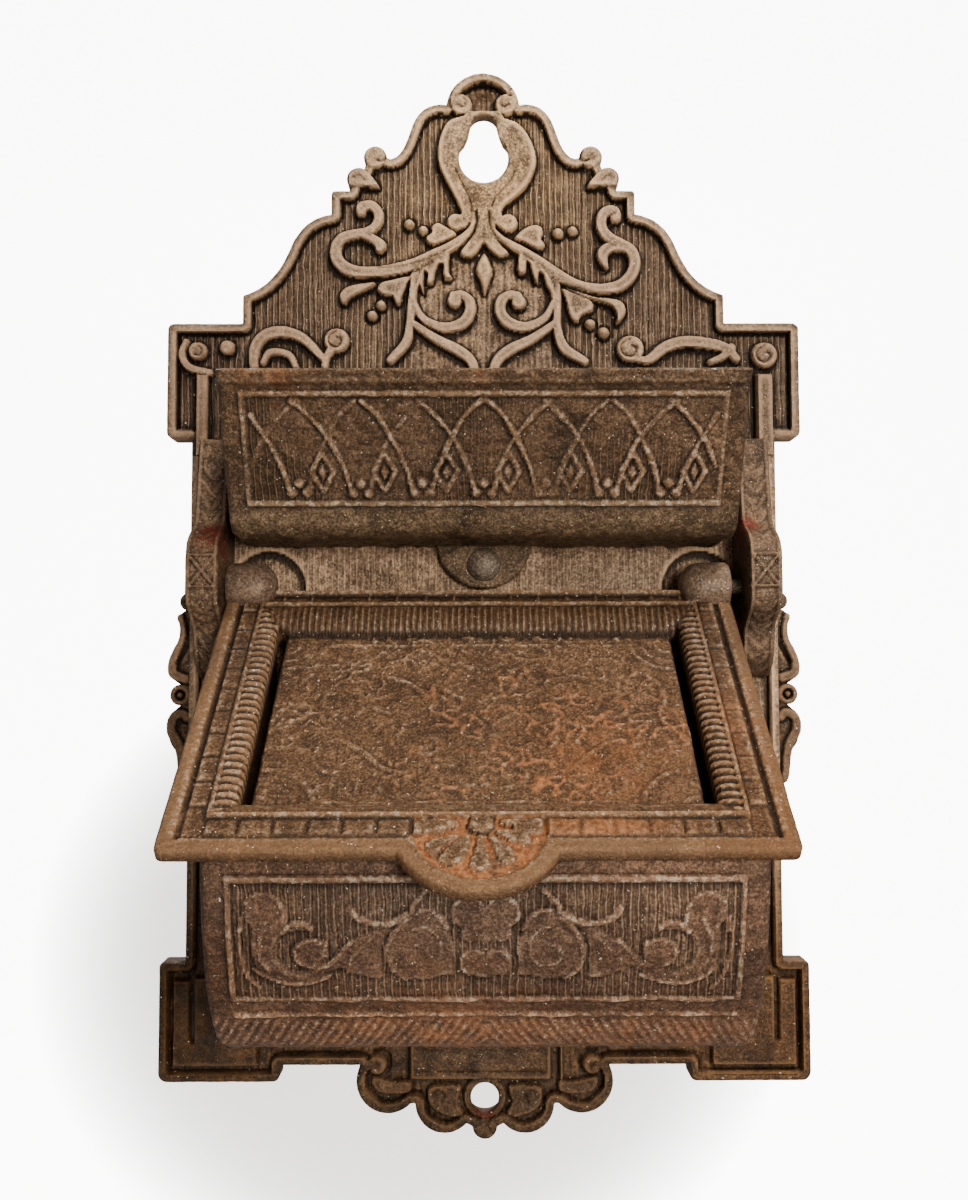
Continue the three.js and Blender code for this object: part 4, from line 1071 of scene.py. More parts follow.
# Forms on the right half of the front as (x, s), with s running down from FIELD_TOP
BOX_MASSES = (
    [(11.0, 12.2), (13.0, 13.0), (15.0, 14.0), (17.4, 15.4), (19.4, 17.6), (20.8, 18.8), (20.2, 16.4),
     (21.6, 15.0), (23.8, 15.2), (25.0, 16.6), (24.6, 18.4), (23.0, 19.6), (25.2, 19.8), (26.8, 18.2),
     (27.2, 16.2), (26.4, 14.6), (24.6, 13.9), (22.6, 13.7), (24.4, 12.6), (25.9, 12.6), (26.0, 10.6),
     (27.4, 9.1), (29.2, 8.9), (30.8, 10.2), (31.0, 12.0), (30.2, 13.6), (30.4, 16.6), (29.8, 19.0),
     (28.0, 20.6), (25.0, 21.4), (21.8, 20.9), (19.0, 19.2), (17.8, 20.0), (15.6, 20.6), (13.4, 20.9),
     (13.7, 18.8), (13.6, 16.6), (12.9, 14.6), (11.8, 13.2)],
    [(5.4, 12.4), (6.8, 11.2), (8.4, 11.0), (9.8, 12.0), (11.2, 13.4), (12.3, 15.2), (12.6, 17.4),
     (12.0, 19.4), (10.4, 20.8), (8.2, 21.2), (5.8, 20.6), (4.1, 20.4), (4.3, 18.2), (3.9, 16.4),
     (4.6, 14.4)],
)
# Raised edges, each with its width first
BOX_EDGES = (
    (0.7, [(10.2, 11.6), (12.0, 12.6), (14.5, 12.8), (16.5, 12.0), (17.4, 10.8)]),
    (0.4, [(9.8, 12.0), (11.3, 13.4), (12.4, 15.3), (12.7, 17.5), (12.0, 19.5), (10.3, 20.9)]),
    (0.3, [(14.2, 14.4), (15.8, 16.0), (17.4, 17.8), (17.9, 19.8)]),
    (0.35, [(17.2, 15.2), (18.6, 16.8), (20.2, 18.6), (22.0, 19.3)]),
    (0.35, [(20.2, 20.3), (22.0, 21.2), (25.0, 21.7), (28.0, 20.8), (30.0, 19.4)]),
    (0.45, [(28.0, 12.2), (28.8, 14.0), (29.3, 16.0), (29.0, 18.0), (28.0, 19.3)]),
    (0.35, [(25.8, 12.8), (26.0, 11.0), (26.8, 9.6), (28.0, 8.9), (29.6, 9.0), (30.8, 10.0)]),
    (0.5, [(22.5, 13.6), (23.4, 12.9), (25.0, 12.9), (26.2, 14.0)]),
    (0.3, [(20.6, 15.8), (22.4, 15.2), (24.2, 15.9), (24.8, 17.3), (23.8, 18.7), (22.0, 19.0)]),
    (0.35, [(0.6, 9.9), (1.4, 9.3), (2.8, 9.4), (4.0, 10.4), (4.2, 12.0), (3.2, 13.0)]),
    (0.4, [(7.6, 8.4), (8.4, 9.4), (9.4, 10.4), (9.5, 11.4)]),
    (0.35, [(4.8, 13.6), (5.6, 12.2), (6.9, 11.2), (8.4, 11.0)]),
    (0.3, [(0.4, 17.2), (1.4, 16.7), (2.8, 17.3), (3.2, 18.9), (2.2, 20.3)]),
    (0.3, [(9.4, 13.6), (7.4, 13.4), (5.9, 15.0), (5.8, 17.2), (7.2, 18.8), (9.2, 18.4), (9.8, 16.6),
           (8.4, 15.6)]),
    (0.5, [(FIELD_HALF, 6.9), (FIELD_HALF, 24.3)]),
    (0.2, [(31.4, 12.0), (31.8, 16.0), (31.2, 20.0), (29.6, 22.4)]),
)


def draw_box(relief):
    """Flat leaf masses with raised edges in a framed field, and slanting striker ridges below it."""

    def edge(points, width):
        relief.stroke([(x, -s, width) for x, s in points], BOX_EDGE, moat=0.12, shoulder=0.3)

    def mass(points):
        relief.leaf([(x, -s) for x, s in points], BOX_MASS, moat=0.2, shoulder=0.4, steps=3)

    for side in (1, -1):
        for points in BOX_MASSES:
            mass(sided(side, points))
        for width, points in BOX_EDGES:
            edge(sided(side, points), width)
    flower = [(1.0, 9.6), (2.6, 9.4), (4.0, 10.4), (4.2, 12.0), (3.0, 13.2), (3.4, 14.4), (2.2, 15.6),
              (0.8, 15.2)]
    sprig = [(1.3, 16.8), (2.8, 17.4), (3.2, 19.0), (2.0, 20.4)]
    for half, top, bottom in ((flower, 10.6, 16.0), (sprig, 17.4, 20.8)):
        mass([(0, top), *sided(-1, half), (0, bottom), *reversed(half)])
    for s, width in ((6.8, 0.8), (24.3, 0.5), (27.3, 0.5)):
        line = [(-FIELD_HALF, -s, width), (FIELD_HALF, -s, width)]
        relief.stroke(line, BOX_EDGE, steps=1, moat=0.12, shoulder=0.3)
    relief.wear(1.0 * (relief.v < -7.5), 0.45, 5.0)
    framed = (relief.v < -7.2) & (relief.v > -24.0) & (np.abs(relief.u) < 32.8)
    relief.lined[:] = framed * 1.0
    relief.ground += framed * 0.09 * np.cos(2 * math.pi * relief.u / LINE_PITCH)
    slant = RIDGE_LEAN * relief.v * np.sign(relief.u + 1e-6)
    ridges = np.cos(2 * math.pi * (relief.u + slant) / RIDGE_PITCH)
    band = ramp(-relief.v - 28.2, 0.5) * ramp(36.0 + relief.v, 0.8)
    relief.ground += 0.12 * ridges * band


def box_profile():
    """The box's floor and bowed front as (out, z), up to where the front meets the mouth."""
    front = smooth([(28, -63.6), (33.5, -62.9), (38.3, -60.6), (42.7, -56), (45.6, -51.3), (48.5, -43.6),
                    (50, -35.7), (50.6, -26)], 16)
    last = np.argmin(front[:, 1] <= box_mouth(front[:, 0]))
    a, b = front[last - 1], front[last]
    gap_a, gap_b = box_mouth(a[0]) - a[1], box_mouth(b[0]) - b[1]
    crossing = a + (b - a) * gap_a / (gap_a - gap_b)
    return path((GROUND, BOX_FLOOR), front[:last], crossing)


def build_box():
    profile = box_profile()
    line, marks = resampled(profile, BOX_CELL)
    relief = Relief(tub_columns(BOX_HALF, BOX_CELL), marks, 0.0)
    relief.count_from(marks[-1] - (profile[-1, 1] - FIELD_TOP))
    draw_box(relief)
    relief.settle()
    side_top = [(out, float(box_mouth(out))) for out in (MOUTH_LEVEL, GROUND)]
    thing = build_tub("box_casting", line, marks, BOX_HALF, BOX_WALL, side_top, relief, relief.finish(0.06),
                      box_mouth)
    return stands_for(thing, "holder", "box_body")


box = build_box()


# Lid
LID_SHIFT = -0.9
LID_HALF = 40.9
LID_REACH = 57.9
TAB_REACH = 64.8
LID_CELL = 0.32
UNDER_CELL = 0.8
LID_TOP = -0.27
LID_THICK = 1.8
WELL_HALF = 34.7
WELL_FRONT = -51.6
WELL_REAR = -5.0
WELL_DEEP = 2.2
ROLL = 3.4
REAR_ROLL = 5.2
SIDE_RIB = 0.3
SIDE_RIB_PITCH = 1.45
REAR_RIB = 0.08
SIDE_BRICK_PITCH = 4.85
FRONT_BRICK_PITCH = 4.45
BRICK_TOP = LID_TOP - 0.06
REAR_BAR_PITCH = 4.6
PAN_UNDER = -3.87
LID_SLOT = [(30.3, -47.6), (30.9, -48.2), (31.3, -48.2), (31.8, -47.6), (31.8, -9.6), (31.2, -9.0),
            (30.3, -10.4)]


def on_lid(rows):
    """Points from (x, y, height) rows of the lid's own plane, about the hinge."""
    cos, sin = math.cos(LID_SLOPE), math.sin(LID_SLOPE)
    y = -HINGE_OUT + rows[:, 1] * cos - rows[:, 2] * sin
    z = HINGE_UP + rows[:, 1] * sin + rows[:, 2] * cos
    return np.column_stack((rows[:, 0] + LID_SHIFT, y, z))


def lid_outline():
    """The lid's rim and the half-round tab in front."""
    half = path(
        (0, -0.4),
        (LID_HALF, -0.4),
        (LID_HALF, -LID_REACH + 1.2),
        arc((LID_HALF - 1.2, -LID_REACH + 1.2), 1.2, 0, -90, 5),
        (10.3, -LID_REACH),
        arc((0, -53.1), 11.3, -25.5, -90, 20),
    )
    return mirror_outline(half)


def lid_grid(cell):
    return spaced((-LID_HALF - 0.3, LID_HALF + 0.3, cell)), spaced((-TAB_REACH, 0.0, cell))


def draw_well(relief):
    """The rounded walls of the well, ribbed at its sides and finely lined at its rear."""
    u, v = relief.u, relief.v
    from_side = (WELL_HALF - np.abs(u)) / ROLL
    from_front = (v - WELL_FRONT) / ROLL
    from_rear = (WELL_REAR - v) / REAR_ROLL
    inward = np.minimum(np.minimum(from_side, from_front), from_rear)
    relief.ground -= WELL_DEEP * (1 - np.sqrt(1 - np.clip(inward, 0, 1) ** 2))
    side_ribs = SIDE_RIB * np.cos(2 * math.pi * (v + 0.25 * np.abs(u)) / SIDE_RIB_PITCH)
    rear_ribs = REAR_RIB * np.cos(2 * math.pi * u / LINE_PITCH) * (from_rear < from_front)
    ribs = np.where(from_side <= np.minimum(from_front, from_rear), side_ribs, rear_ribs)
    on_roll = ramp(inward, 0.12) * ramp(1 - inward, 0.1)
    relief.ground += ribs * on_roll
    relief.worn += 2.7 * np.clip(ribs, 0, SIDE_RIB) * on_roll
    relief.dirt_and_shade += 2.2 * np.clip(-ribs, 0, SIDE_RIB) * on_roll


def under_lid(places):
    """Points on the lid's underside: flat under the rim, and lower under the panel."""
    across, along = np.abs(places[:, 0]), places[:, 1]
    pan = np.minimum(np.minimum(33.3 - across, along + 50.4), -8.0 - along)
    blend = np.clip(pan / 0.6 + 0.5, 0, 1)
    height = (LID_TOP - LID_THICK) * (1 - blend) + PAN_UNDER * blend
    return on_lid(np.column_stack((places, height)))


def build_lid():
    outline = lid_outline()
    slots = [np.array(sided(side, LID_SLOT)) for side in (1, -1)]
    relief = Relief(*lid_grid(LID_CELL), LID_TOP)
    draw_well(relief)
    draw_lid(relief)
    relief.settle()
    cut_lid(relief)
    height, shares = relief.finish(0.03, LID_CELL)
    flat, quads, rim, used = cut_sheet(*lid_grid(LID_CELL), outline, slots)
    out = height.ravel()[used] - rim_drop(flat, [outline, *slots])
    top = on_lid(np.column_stack((flat, out)))
    feet, walls = rim_walls(rim, len(flat))
    low_flat, low_quads = cut_sheet(*lid_grid(UNDER_CELL), outline, slots)[:2]
    points = np.vstack((top, under_lid(flat[feet]), under_lid(low_flat)))
    faces = quads.tolist() + walls + (low_quads[:, ::-1] + len(flat) + len(feet)).tolist()
    thing = make_mesh("lid_casting", points, faces, kept_shares(shares, used, len(points) - len(flat)))
    return stands_for(thing, "lid", "lid")


PANEL_SCROLLS = (
    [(2.0, -31.5), (5.5, -29.0), (9.5, -30.2), (11.2, -33.6), (9.6, -37.0), (6.4, -37.4), (5.2, -35.4),
     (6.6, -34.0)],
    [(9.0, -42.0), (13.0, -40.4), (16.4, -37.0), (19.6, -34.8), (22.4, -36.2), (22.8, -39.4), (20.6, -41.2),
     (18.8, -39.8)],
    [(7.4, -25.0), (11.4, -21.4), (16.8, -20.4), (21.4, -22.4), (22.8, -26.6), (20.2, -29.8), (17.2, -28.6),
     (17.8, -26.2)],
    [(2.4, -25.6), (5.6, -22.8), (6.2, -19.4), (3.8, -17.4), (1.0, -18.4)],
    [(0.6, -43.8), (4.0, -44.4), (6.6, -42.6), (5.8, -40.0), (3.2, -39.8)],
    [(25.4, -20.0), (27.4, -23.0), (27.2, -27.6), (25.4, -31.0), (26.6, -34.4)],
    [(12.6, -30.6), (15.0, -32.4), (14.0, -35.0)],
)


def draw_lid(relief):
    """Brick band, rear band, corner quarters, scrolls in the panel and the palmette on the thumb tab."""
    stroke, disc, leaf = relief.stroke, relief.disc, relief.leaf
    u, v, across = relief.u, relief.v, np.abs(relief.u)
    rim = LID_TOP + 0.22
    # Bricks in a sunk band
    sunk = ramp(v + 55.0, 0.3) * ramp(-51.8 - v, 0.3) * (across < 38.2)
    sunk = np.maximum(sunk, ramp(across - 35.0, 0.3) * ramp(38.3 - across, 0.3) * (v > -55.0))
    relief.ground -= 0.34 * sunk
    for side in (1, -1):
        for k in range(10):
            near, far = -1.6 - k * SIDE_BRICK_PITCH, -6.0 - k * SIDE_BRICK_PITCH
            brick = sided(side, [(35.4, near), (38.0, near), (38.0, far), (35.4, far)])
            leaf(brick, BRICK_TOP, rounded=False, moat=0.15, shoulder=0.3)
        for k in range(7):
            near, far = 4.4 + FRONT_BRICK_PITCH * k, 8.4 + FRONT_BRICK_PITCH * k
            brick = sided(side, [(near, -52.2), (far, -52.2), (far, -54.7), (near, -54.7)])
            leaf(brick, BRICK_TOP, rounded=False, moat=0.15, shoulder=0.3)
        stroke([(side * 34.9, -1.2, 0.4), (side * 34.9, -51.6, 0.4)], rim, moat=0.15, steps=1, shoulder=0.25)
    for y, width in ((-51.4, 0.5), (-4.3, 0.5), (-0.95, 0.5)):
        stroke([(-34.6, y, width), (34.6, y, width)], rim + 0.1, moat=0.2, steps=1, shoulder=0.3)
    relief.ground -= 0.45 * (ramp(v + 4.0, 0.3) * ramp(-1.2 - v, 0.3) * (across < 34))
    for k in range(-7, 8):
        x = k * REAR_BAR_PITCH + 0.6
        stroke([(x, -3.9, 0.25), (x, -1.4, 0.25)], LID_TOP - 0.15, moat=0.0, shoulder=0.25)
    # Corroded panel, smoother at its corner fans
    floor = LID_TOP - WELL_DEEP
    low, high = floor + 0.2, floor + 0.27
    on_panel = (across < 31.0) & (v < -10.4) & (v > -48.4)
    worms = np.clip(1 - 2.4 * np.abs(grain(u.shape, 1.9)), 0, 1)
    worms = worms * np.clip(0.6 + 0.5 * grain(u.shape, 6.0), 0, 1)
    crumbs = np.clip(grain(u.shape, 1.1) - 0.9, 0, 1)
    front_fan = np.hypot(across - 29.6, v + 48.6) < 8.6
    rear_fan = np.hypot(across - 29.6, v + 12.6) < 6.6
    worms = worms * np.where(front_fan | rear_fan, 0.2, 1.0)
    relief.ground += on_panel * (0.34 * worms + 0.12 * crumbs + grain(u.shape, 5.0) * 0.05)
    relief.worn += 0.45 * ((across > 38.7) | (v < -55.5)) * (np.hypot(u, v + 53.1) > 9.4)
    relief.lined[:] = on_panel * 0.15
    relief.lined[(v < -5.2) & (v > -10.4) & (across < 30)] = 0.8
    relief.lined[(across > 34.9) | (v < -51.2) | (v > -4.6)] = 0.0
    # Lines, fans and scrolls on the panel
    stroke([(-21.0, -47.2, 0.5), (21.5, -47.2, 0.5)], high + 0.06, moat=0.15, steps=1)
    stroke([(-23.0, -12.6, 0.4), (23.0, -12.6, 0.4)], high, moat=0.15, steps=1)
    for side in (1, -1):
        start, end = (90, 180) if side > 0 else (0, 90)
        for radius, width in ((7.8, 0.7), (5.2, 0.5), (2.4, 0.6)):
            run = arc((side * 29.6, -48.6), radius, start, end, 8)
            stroke([(x, y, width) for x, y in run], high, moat=0.15, steps=2)
            run = arc((side * 29.6, -12.6), radius * 0.75, start + 90 * side, end + 90 * side, 8)
            stroke([(x, y, width - 0.1) for x, y in run], low, moat=0.15, steps=2)
        for run in PANEL_SCROLLS:
            stroke([(side * x, y, 0.8) for x, y in run], high, moat=0.16, shoulder=0.6)
        leaf(sided(side, [(10.2, -27.4), (13.6, -26.0), (15.8, -27.6), (13.0, -29.2)]), low, moat=0.2)
        leaf(sided(side, [(12.6, -44.6), (15.2, -42.8), (15.6, -45.4)]), low, moat=0.15)
        disc((side * 25.0, -36.6), 1.0, low, moat=0.15)
        disc((side * 12.8, -17.4), 1.1, low, moat=0.15)
        for k in range(4):
            bar = [(16.4 + 1.15 * k, -41.6, 0.3), (16.6 + 1.15 * k, -45.6, 0.3)]
            stroke(sided(side, bar), low, moat=0.1)
    disc((0.2, -32.0), 1.5, high, moat=0.2)
    for turn in range(0, 360, 60):
        spoke = math.radians(turn + 12)
        disc((0.2 + 2.9 * math.cos(spoke), -32.0 + 2.9 * math.sin(spoke)), 1.1, low, moat=0.2)
    relief.wear(1.0 * on_panel, 0.15, 4.0)
    # Thumb tab
    tab_away = np.hypot(u - 0.2, v + 53.6) - 8.8
    in_tab = ramp(-tab_away, 0.3) * (v < -51.9)
    relief.ground -= 0.45 * in_tab
    panel_rust = 0.85 * on_panel * worms * ramp(u + 18.0, 18.0) * ramp(-15.0 - v, 8.0)
    brick_rust = 0.6 * sunk * (v < -51.0) * (u > 0) * ramp(30.0 - u, 12.0)
    relief.rusty = np.maximum(np.maximum(in_tab, panel_rust), brick_rust)
    petals = (
        [(-0.2, -55.1), (-0.6, -57.6), (-1.2, -60.0), (-0.6, -60.9), (1.0, -60.9), (1.6, -59.9), (1.1, -57.6),
         (0.6, -55.1)],
        [(1.2, -54.9), (2.1, -55.0), (3.3, -56.2), (4.4, -57.5), (4.7, -59.0), (4.2, -59.7), (3.2, -59.7),
         (2.4, -58.7), (1.8, -57.1)],
        [(2.0, -54.4), (3.1, -53.9), (4.7, -54.0), (6.5, -54.8), (6.9, -55.9), (6.3, -56.7), (4.9, -56.5),
         (3.5, -55.7)],
        [(2.7, -52.2), (7.9, -52.1), (7.9, -53.2), (6.2, -53.5), (4.0, -53.2)],
        [(-0.9, -55.1), (-1.2, -57.6), (-2.0, -59.2), (-3.4, -60.0), (-4.7, -59.7), (-5.0, -58.7),
         (-3.9, -57.0), (-2.3, -55.2)],
        [(-2.4, -55.0), (-4.0, -55.1), (-6.4, -56.0), (-6.8, -57.1), (-5.9, -58.3), (-5.2, -58.4),
         (-4.2, -56.9)],
        [(-2.6, -52.4), (-7.6, -52.0), (-7.8, -53.6), (-6.4, -54.5), (-4.0, -54.0)],
    )
    for petal in petals:
        leaf(petal, LID_TOP, moat=0.2, shoulder=0.25, steps=3)
    disc((0.4, -52.8), 1.9, LID_TOP + 0.1, shoulder=0.8, moat=0.15)
    relief.rusty[(in_tab > 0) & (relief.raised > relief.ground)] = 0.0


def cut_lid(relief):
    """The line that runs outside the bricks, along both sides and the front."""
    for side in (1, -1):
        relief.groove(sided(side, [(38.4, -1.0), (38.4, -55.2)]), 0.75, 0.7, steps=1)
        relief.groove(sided(side, [(38.4, -55.2), (9.2, -55.2)]), 0.5, 0.4, steps=1)


lid = build_lid()


# Knuckles, as (radius, x) pairs from the inner end out
KNUCKLE = [(0, 32.9), (1.6, 33.1), (2.6, 33.6), (3.4, 34.4), (3.8, 35.3), (4.0, 36.3), (4.0, 40.4),
           (3.6, 40.9), (1.3, 40.9)]
KNUCKLE_SIDES = 48


def build_knuckle(side):
    """A turned boss round the pin at one end of the lid."""
    rings = []
    for radius, x in KNUCKLE:
        ring = circle((-HINGE_OUT, HINGE_UP), max(radius, 1e-3), KNUCKLE_SIDES)
        rings.append(np.column_stack((np.full(len(ring), side * x + LID_SHIFT), ring)))
    number = numbered((len(KNUCKLE), KNUCKLE_SIDES))
    faces = grid_faces(np.column_stack((number, number[:, 0]))).tolist()
    plain = {"hollow": np.full(number.size, 0.2), "crest": np.full(number.size, 0.1)}
    thing = make_mesh(f"knuckle_{SIDE_NAMES[side]}", np.vstack(rings), faces, plain, 40)
    return stands_for(thing, "lid", "lid")


knuckles = [build_knuckle(side) for side in (1, -1)]


# Materials
class Shading:
    """Short names for the shader nodes that the finishes share."""

    def __init__(self, material):
        self.material = material
        self.material.use_nodes = True
        self.nodes = self.material.node_tree.nodes
        self.links = self.material.node_tree.links
        self.shader = self.nodes["Principled BSDF"]
        self.place = self.nodes.new("ShaderNodeTexCoord").outputs["Object"]

    def noise(self, scale, detail, roughness=0.6):
        made = self.nodes.new("ShaderNodeTexNoise")
        made.inputs["Scale"].default_value = scale
        made.inputs["Detail"].default_value = detail
        made.inputs["Roughness"].default_value = roughness
        self.links.new(self.place, made.inputs["Vector"])
        return made.outputs["Fac"]

    def spread(self, value, low, high, to_low=0.0, to_high=1.0):
        made = self.nodes.new("ShaderNodeMapRange")
        for label, number in (("From Min", low), ("From Max", high), ("To Min", to_low), ("To Max", to_high)):
            made.inputs[label].default_value = number
        self.links.new(value, made.inputs["Value"])
        return made.outputs["Result"]

    def mix(self, factor, a, b, blend="MIX"):
        made = self.nodes.new("ShaderNodeMix")
        made.data_type = "RGBA"
        made.blend_type = blend
        self.links.new(factor, made.inputs["Factor"])
        for value, socket in ((a, made.inputs[6]), (b, made.inputs[7])):
            if isinstance(value, tuple):
                socket.default_value = (*value, 1.0)
            else:
                self.links.new(value, socket)
        return made.outputs[2]

    def cover(self, body, colour, value, low, high, to_low=0.0, to_high=1.0):
        """The body's colour covered by another, by a share that follows a value from low to high."""
        return self.mix(self.spread(value, low, high, to_low, to_high), body, colour)

    def times(self, a, b):
        return self.join("MULTIPLY", a, b)

    def share(self, label):
        """One of the shares that the relief gives the mesh."""
        made = self.nodes.new("ShaderNodeAttribute")
        made.attribute_name = label
        return made.outputs["Fac"]

    def along(self, axis):
        """One coordinate of the place, in metres."""
        made = self.nodes.new("ShaderNodeSeparateXYZ")
        self.links.new(self.place, made.inputs["Vector"])
        return made.outputs[axis]

    def join(self, operation, a, b=0.0):
        made = self.nodes.new("ShaderNodeMath")
        made.operation = operation
        for value, socket in ((a, made.inputs[0]), (b, made.inputs[1])):
            if isinstance(value, (int, float)):
                socket.default_value = value
            else:
                self.links.new(value, socket)
        return made.outputs[0]

    def waves(self, pitch, wander):
        """Upright lines, 0 to 1, that wander and break up a little."""
        turns = self.join("MULTIPLY", self.along("X"), 2 * math.pi / (pitch * MM))
        turns = self.join("ADD", turns, self.spread(self.noise(260.0, 3.0), 0.3, 0.7, -wander, wander))
        return self.spread(self.join("SINE", turns), -1.0, 1.0)

    def patch(self, centre, radius):
        """Nearly 1 at a place in millimetres, falling to 0 at the radius."""
        made = self.nodes.new("ShaderNodeVectorMath")
        made.operation = "DISTANCE"
        self.links.new(self.place, made.inputs[0])
        made.inputs[1].default_value = tuple(c * MM for c in centre)
        return self.spread(made.outputs["Value"], radius * MM, 0.2 * radius * MM)


METALLIC = 0.1
SHEEN = 0.3
SHEEN_TINT = (1.0, 0.86, 0.70)
BUMP_MM = 0.3
NO_TINT = (1.0, 1.0, 1.0)
RUST_DARK = (0.13, 0.036, 0.009)
RUST_LIGHT = (0.31, 0.125, 0.047)
RED_PAINT = (0.30, 0.03, 0.012)
CRUMB = (0.50, 0.37, 0.25)
FLECK = (0.70, 0.57, 0.43)


def scaled(colour, by):
    return tuple(min(1.0, by * part) for part in colour)


def iron(name, dark, light, dust, rough=(0.38, 0.64), depth=0.8, crumbs=0.5, grainy=1.0, shine=1.5, bumpy=0.9,
         between=NO_TINT, rust_at=(), paint_at=(), tone_and_painted_light_by_height=(), tone_and_painted_light_at=()):
    """Aged cast iron: black in its hollows with dirt and painted shade, worn lighter on its crests, grainy,
    dusty and flecked with rust. between tints the lined ground. rust_at holds (place, radius, strength),
    paint_at (place, radius), tone_and_painted_light_at (place, radius, tint) and
    tone_and_painted_light_by_height (start height, end height, tint from there on); these tints give tone and
    also paint light and shade."""
    make = Shading(bpy.data.materials.new(name))
    shader = make.shader
    shader.inputs["Metallic"].default_value = METALLIC
    shader.inputs["Specular IOR Level"].default_value = SHEEN
    shader.inputs["Specular Tint"].default_value = (*SHEEN_TINT, 1.0)
    bright = scaled(light, shine)
    lined, crest = make.share("lined"), make.share("crest")
    # Patina and grain
    grains = make.noise(2500.0, 3.0, 0.75)
    body = make.cover(dark, light, make.noise(210.0, 7.0, 0.65), 0.38, 0.64)
    body = make.cover(body, dust, make.noise(60.0, 6.0), 0.46, 0.66)
    body = make.cover(body, dark, make.noise(760.0, 4.0), 0.42, 0.60, 0.55, 0.0)
    body = make.cover(body, scaled(dark, 0.45), grains, 0.36, 0.56, 0.85 * grainy, 0.0)
    body = make.cover(body, bright, grains, 0.54, 0.70, 0.0, 0.6 * grainy)
    # Scored lines on the ground
    body = make.mix(lined, body, between, "MULTIPLY")
    lines = make.times(make.waves(LINE_PITCH / 2, 2.2), make.waves(LINE_PITCH, 1.6))
    valley = make.times(lined, make.spread(lines, 0.0, 0.5, 1.0, 0.0))
    ridge = make.times(lined, make.spread(lines, 0.55, 0.95))
    body = make.cover(body, scaled(dark, 0.35), valley, 0.0, 1.0, 0.0, 0.75)
    body = make.cover(body, bright, ridge, 0.0, 1.0, 0.0, 0.45)
    # Wear
    body = make.cover(body, bright, crest, 0.05, 0.7, 0.0, 0.5)
    body = make.cover(body, bright, make.share("worn"), 0.0, 1.0, 0.0, 0.8)
    broken = make.times(make.spread(crest, 0.04, 0.35), make.spread(make.noise(1300.0, 6.0, 0.7), 0.50, 0.58))
    body = make.cover(body, CRUMB, broken, 0.0, 1.0, 0.0, crumbs)
    # Rust and traces of paint
    orange = make.cover(RUST_DARK, RUST_LIGHT, make.noise(1500.0, 4.0), 0.38, 0.62)
    for place, radius, strength in rust_at:
        veil = make.times(make.patch(place, radius), make.spread(make.noise(330.0, 9.0, 0.72), 0.42, 0.58))
        body = make.cover(body, orange, veil, 0.0, 1.0, 0.0, strength)
    veil = make.times(make.share("rusty"), make.spread(make.noise(300.0, 9.0, 0.72), 0.36, 0.52))
    body = make.cover(body, orange, veil, 0.0, 0.8, 0.0, 0.95)
    for place, radius in paint_at:
        veil = make.times(make.patch(place, radius), make.spread(make.noise(900.0, 4.0), 0.40, 0.50))
        body = make.cover(body, RED_PAINT, veil, 0.2, 0.6, 0.0, 0.85)
    # Dirt and painted shade in the hollows, tone and painted light and shade by height and by place, and dust
    body = make.cover(body, scaled(dark, 0.10), make.share("hollow"), 0.10, 0.65, 0.0, depth)
    for start, end, tint in tone_and_painted_light_by_height:
        body = make.mix(make.spread(make.along("Z"), start * MM, end * MM), body, tint, "MULTIPLY")
    for place, radius, tint in tone_and_painted_light_at:
        body = make.mix(make.patch(place, radius), body, tint, "MULTIPLY")
    body = make.cover(body, FLECK, make.noise(2300.0, 2.0, 0.5), 0.71, 0.76)
    make.links.new(body, shader.inputs["Base Color"])
    make.links.new(make.spread(make.noise(700.0, 4.0), 0.3, 0.7, *rough), shader.inputs["Roughness"])
    # Roughness of the cast surface
    rough_cast = make.join("ADD", make.noise(2600.0, 4.0, 0.65), make.noise(1000.0, 4.0))
    bump = make.nodes.new("ShaderNodeBump")
    bump.inputs["Strength"].default_value = bumpy
    bump.inputs["Distance"].default_value = BUMP_MM * MM
    make.links.new(make.join("ADD", rough_cast, make.times(lined, lines)), bump.inputs["Height"])
    make.links.new(bump.outputs["Normal"], shader.inputs["Normal"])
    return make.material


PLATE_COLOURS = ((0.070, 0.040, 0.021), (0.62, 0.400, 0.222), (0.32, 0.218, 0.130))
plate_iron = iron(
    "plate_iron", *PLATE_COLOURS, depth=0.92, crumbs=0.15, shine=1.2, between=(0.70, 0.69, 0.69),
    paint_at=[((0, -3, -81.8), 3.0)],
    tone_and_painted_light_by_height=[
        (84, 46, (0.72, 0.70, 0.71)),
        # Painted light: from 16 mm down the plate is lighter again, for the plate seen between the pocket and
        # the lid
        (24, 16, (1.5, 1.52, 1.55)),
        (-14, -56, (0.24, 0.195, 0.15)),
    ],
    tone_and_painted_light_at=[
        ((50, -3, -66), 26, (1.1, 0.95, 0.72)),
        ((-50, -3, -66), 24, (0.50, 0.375, 0.175)),
        ((48, -4, 36), 19, (0.68, 0.67, 0.68)),
        ((-48, -4, 36), 19, (0.58, 0.55, 0.57)),
        ((35, -4, 62), 24, (0.86, 0.83, 0.83)),
        ((-35, -4, 62), 24, (0.72, 0.69, 0.69)),
        ((-14, -3, -82), 12, (0.76, 0.73, 0.68)),
        ((0, -3, -73), 9, (1.1, 1.17, 1.3)),
        ((0, -3, 88.6), 4.4, (0.27, 0.225, 0.185)),
        ((0, -4, 72), 22, (1.22, 1.17, 1.02)),
        # Painted shade in the recesses between the knuckles and the cheeks
        ((41.4, -3, 3), 8, (0.25, 0.22, 0.20)),
        ((-41.4, -3, 4), 6, (0.6, 0.52, 0.48)),
    ],
)
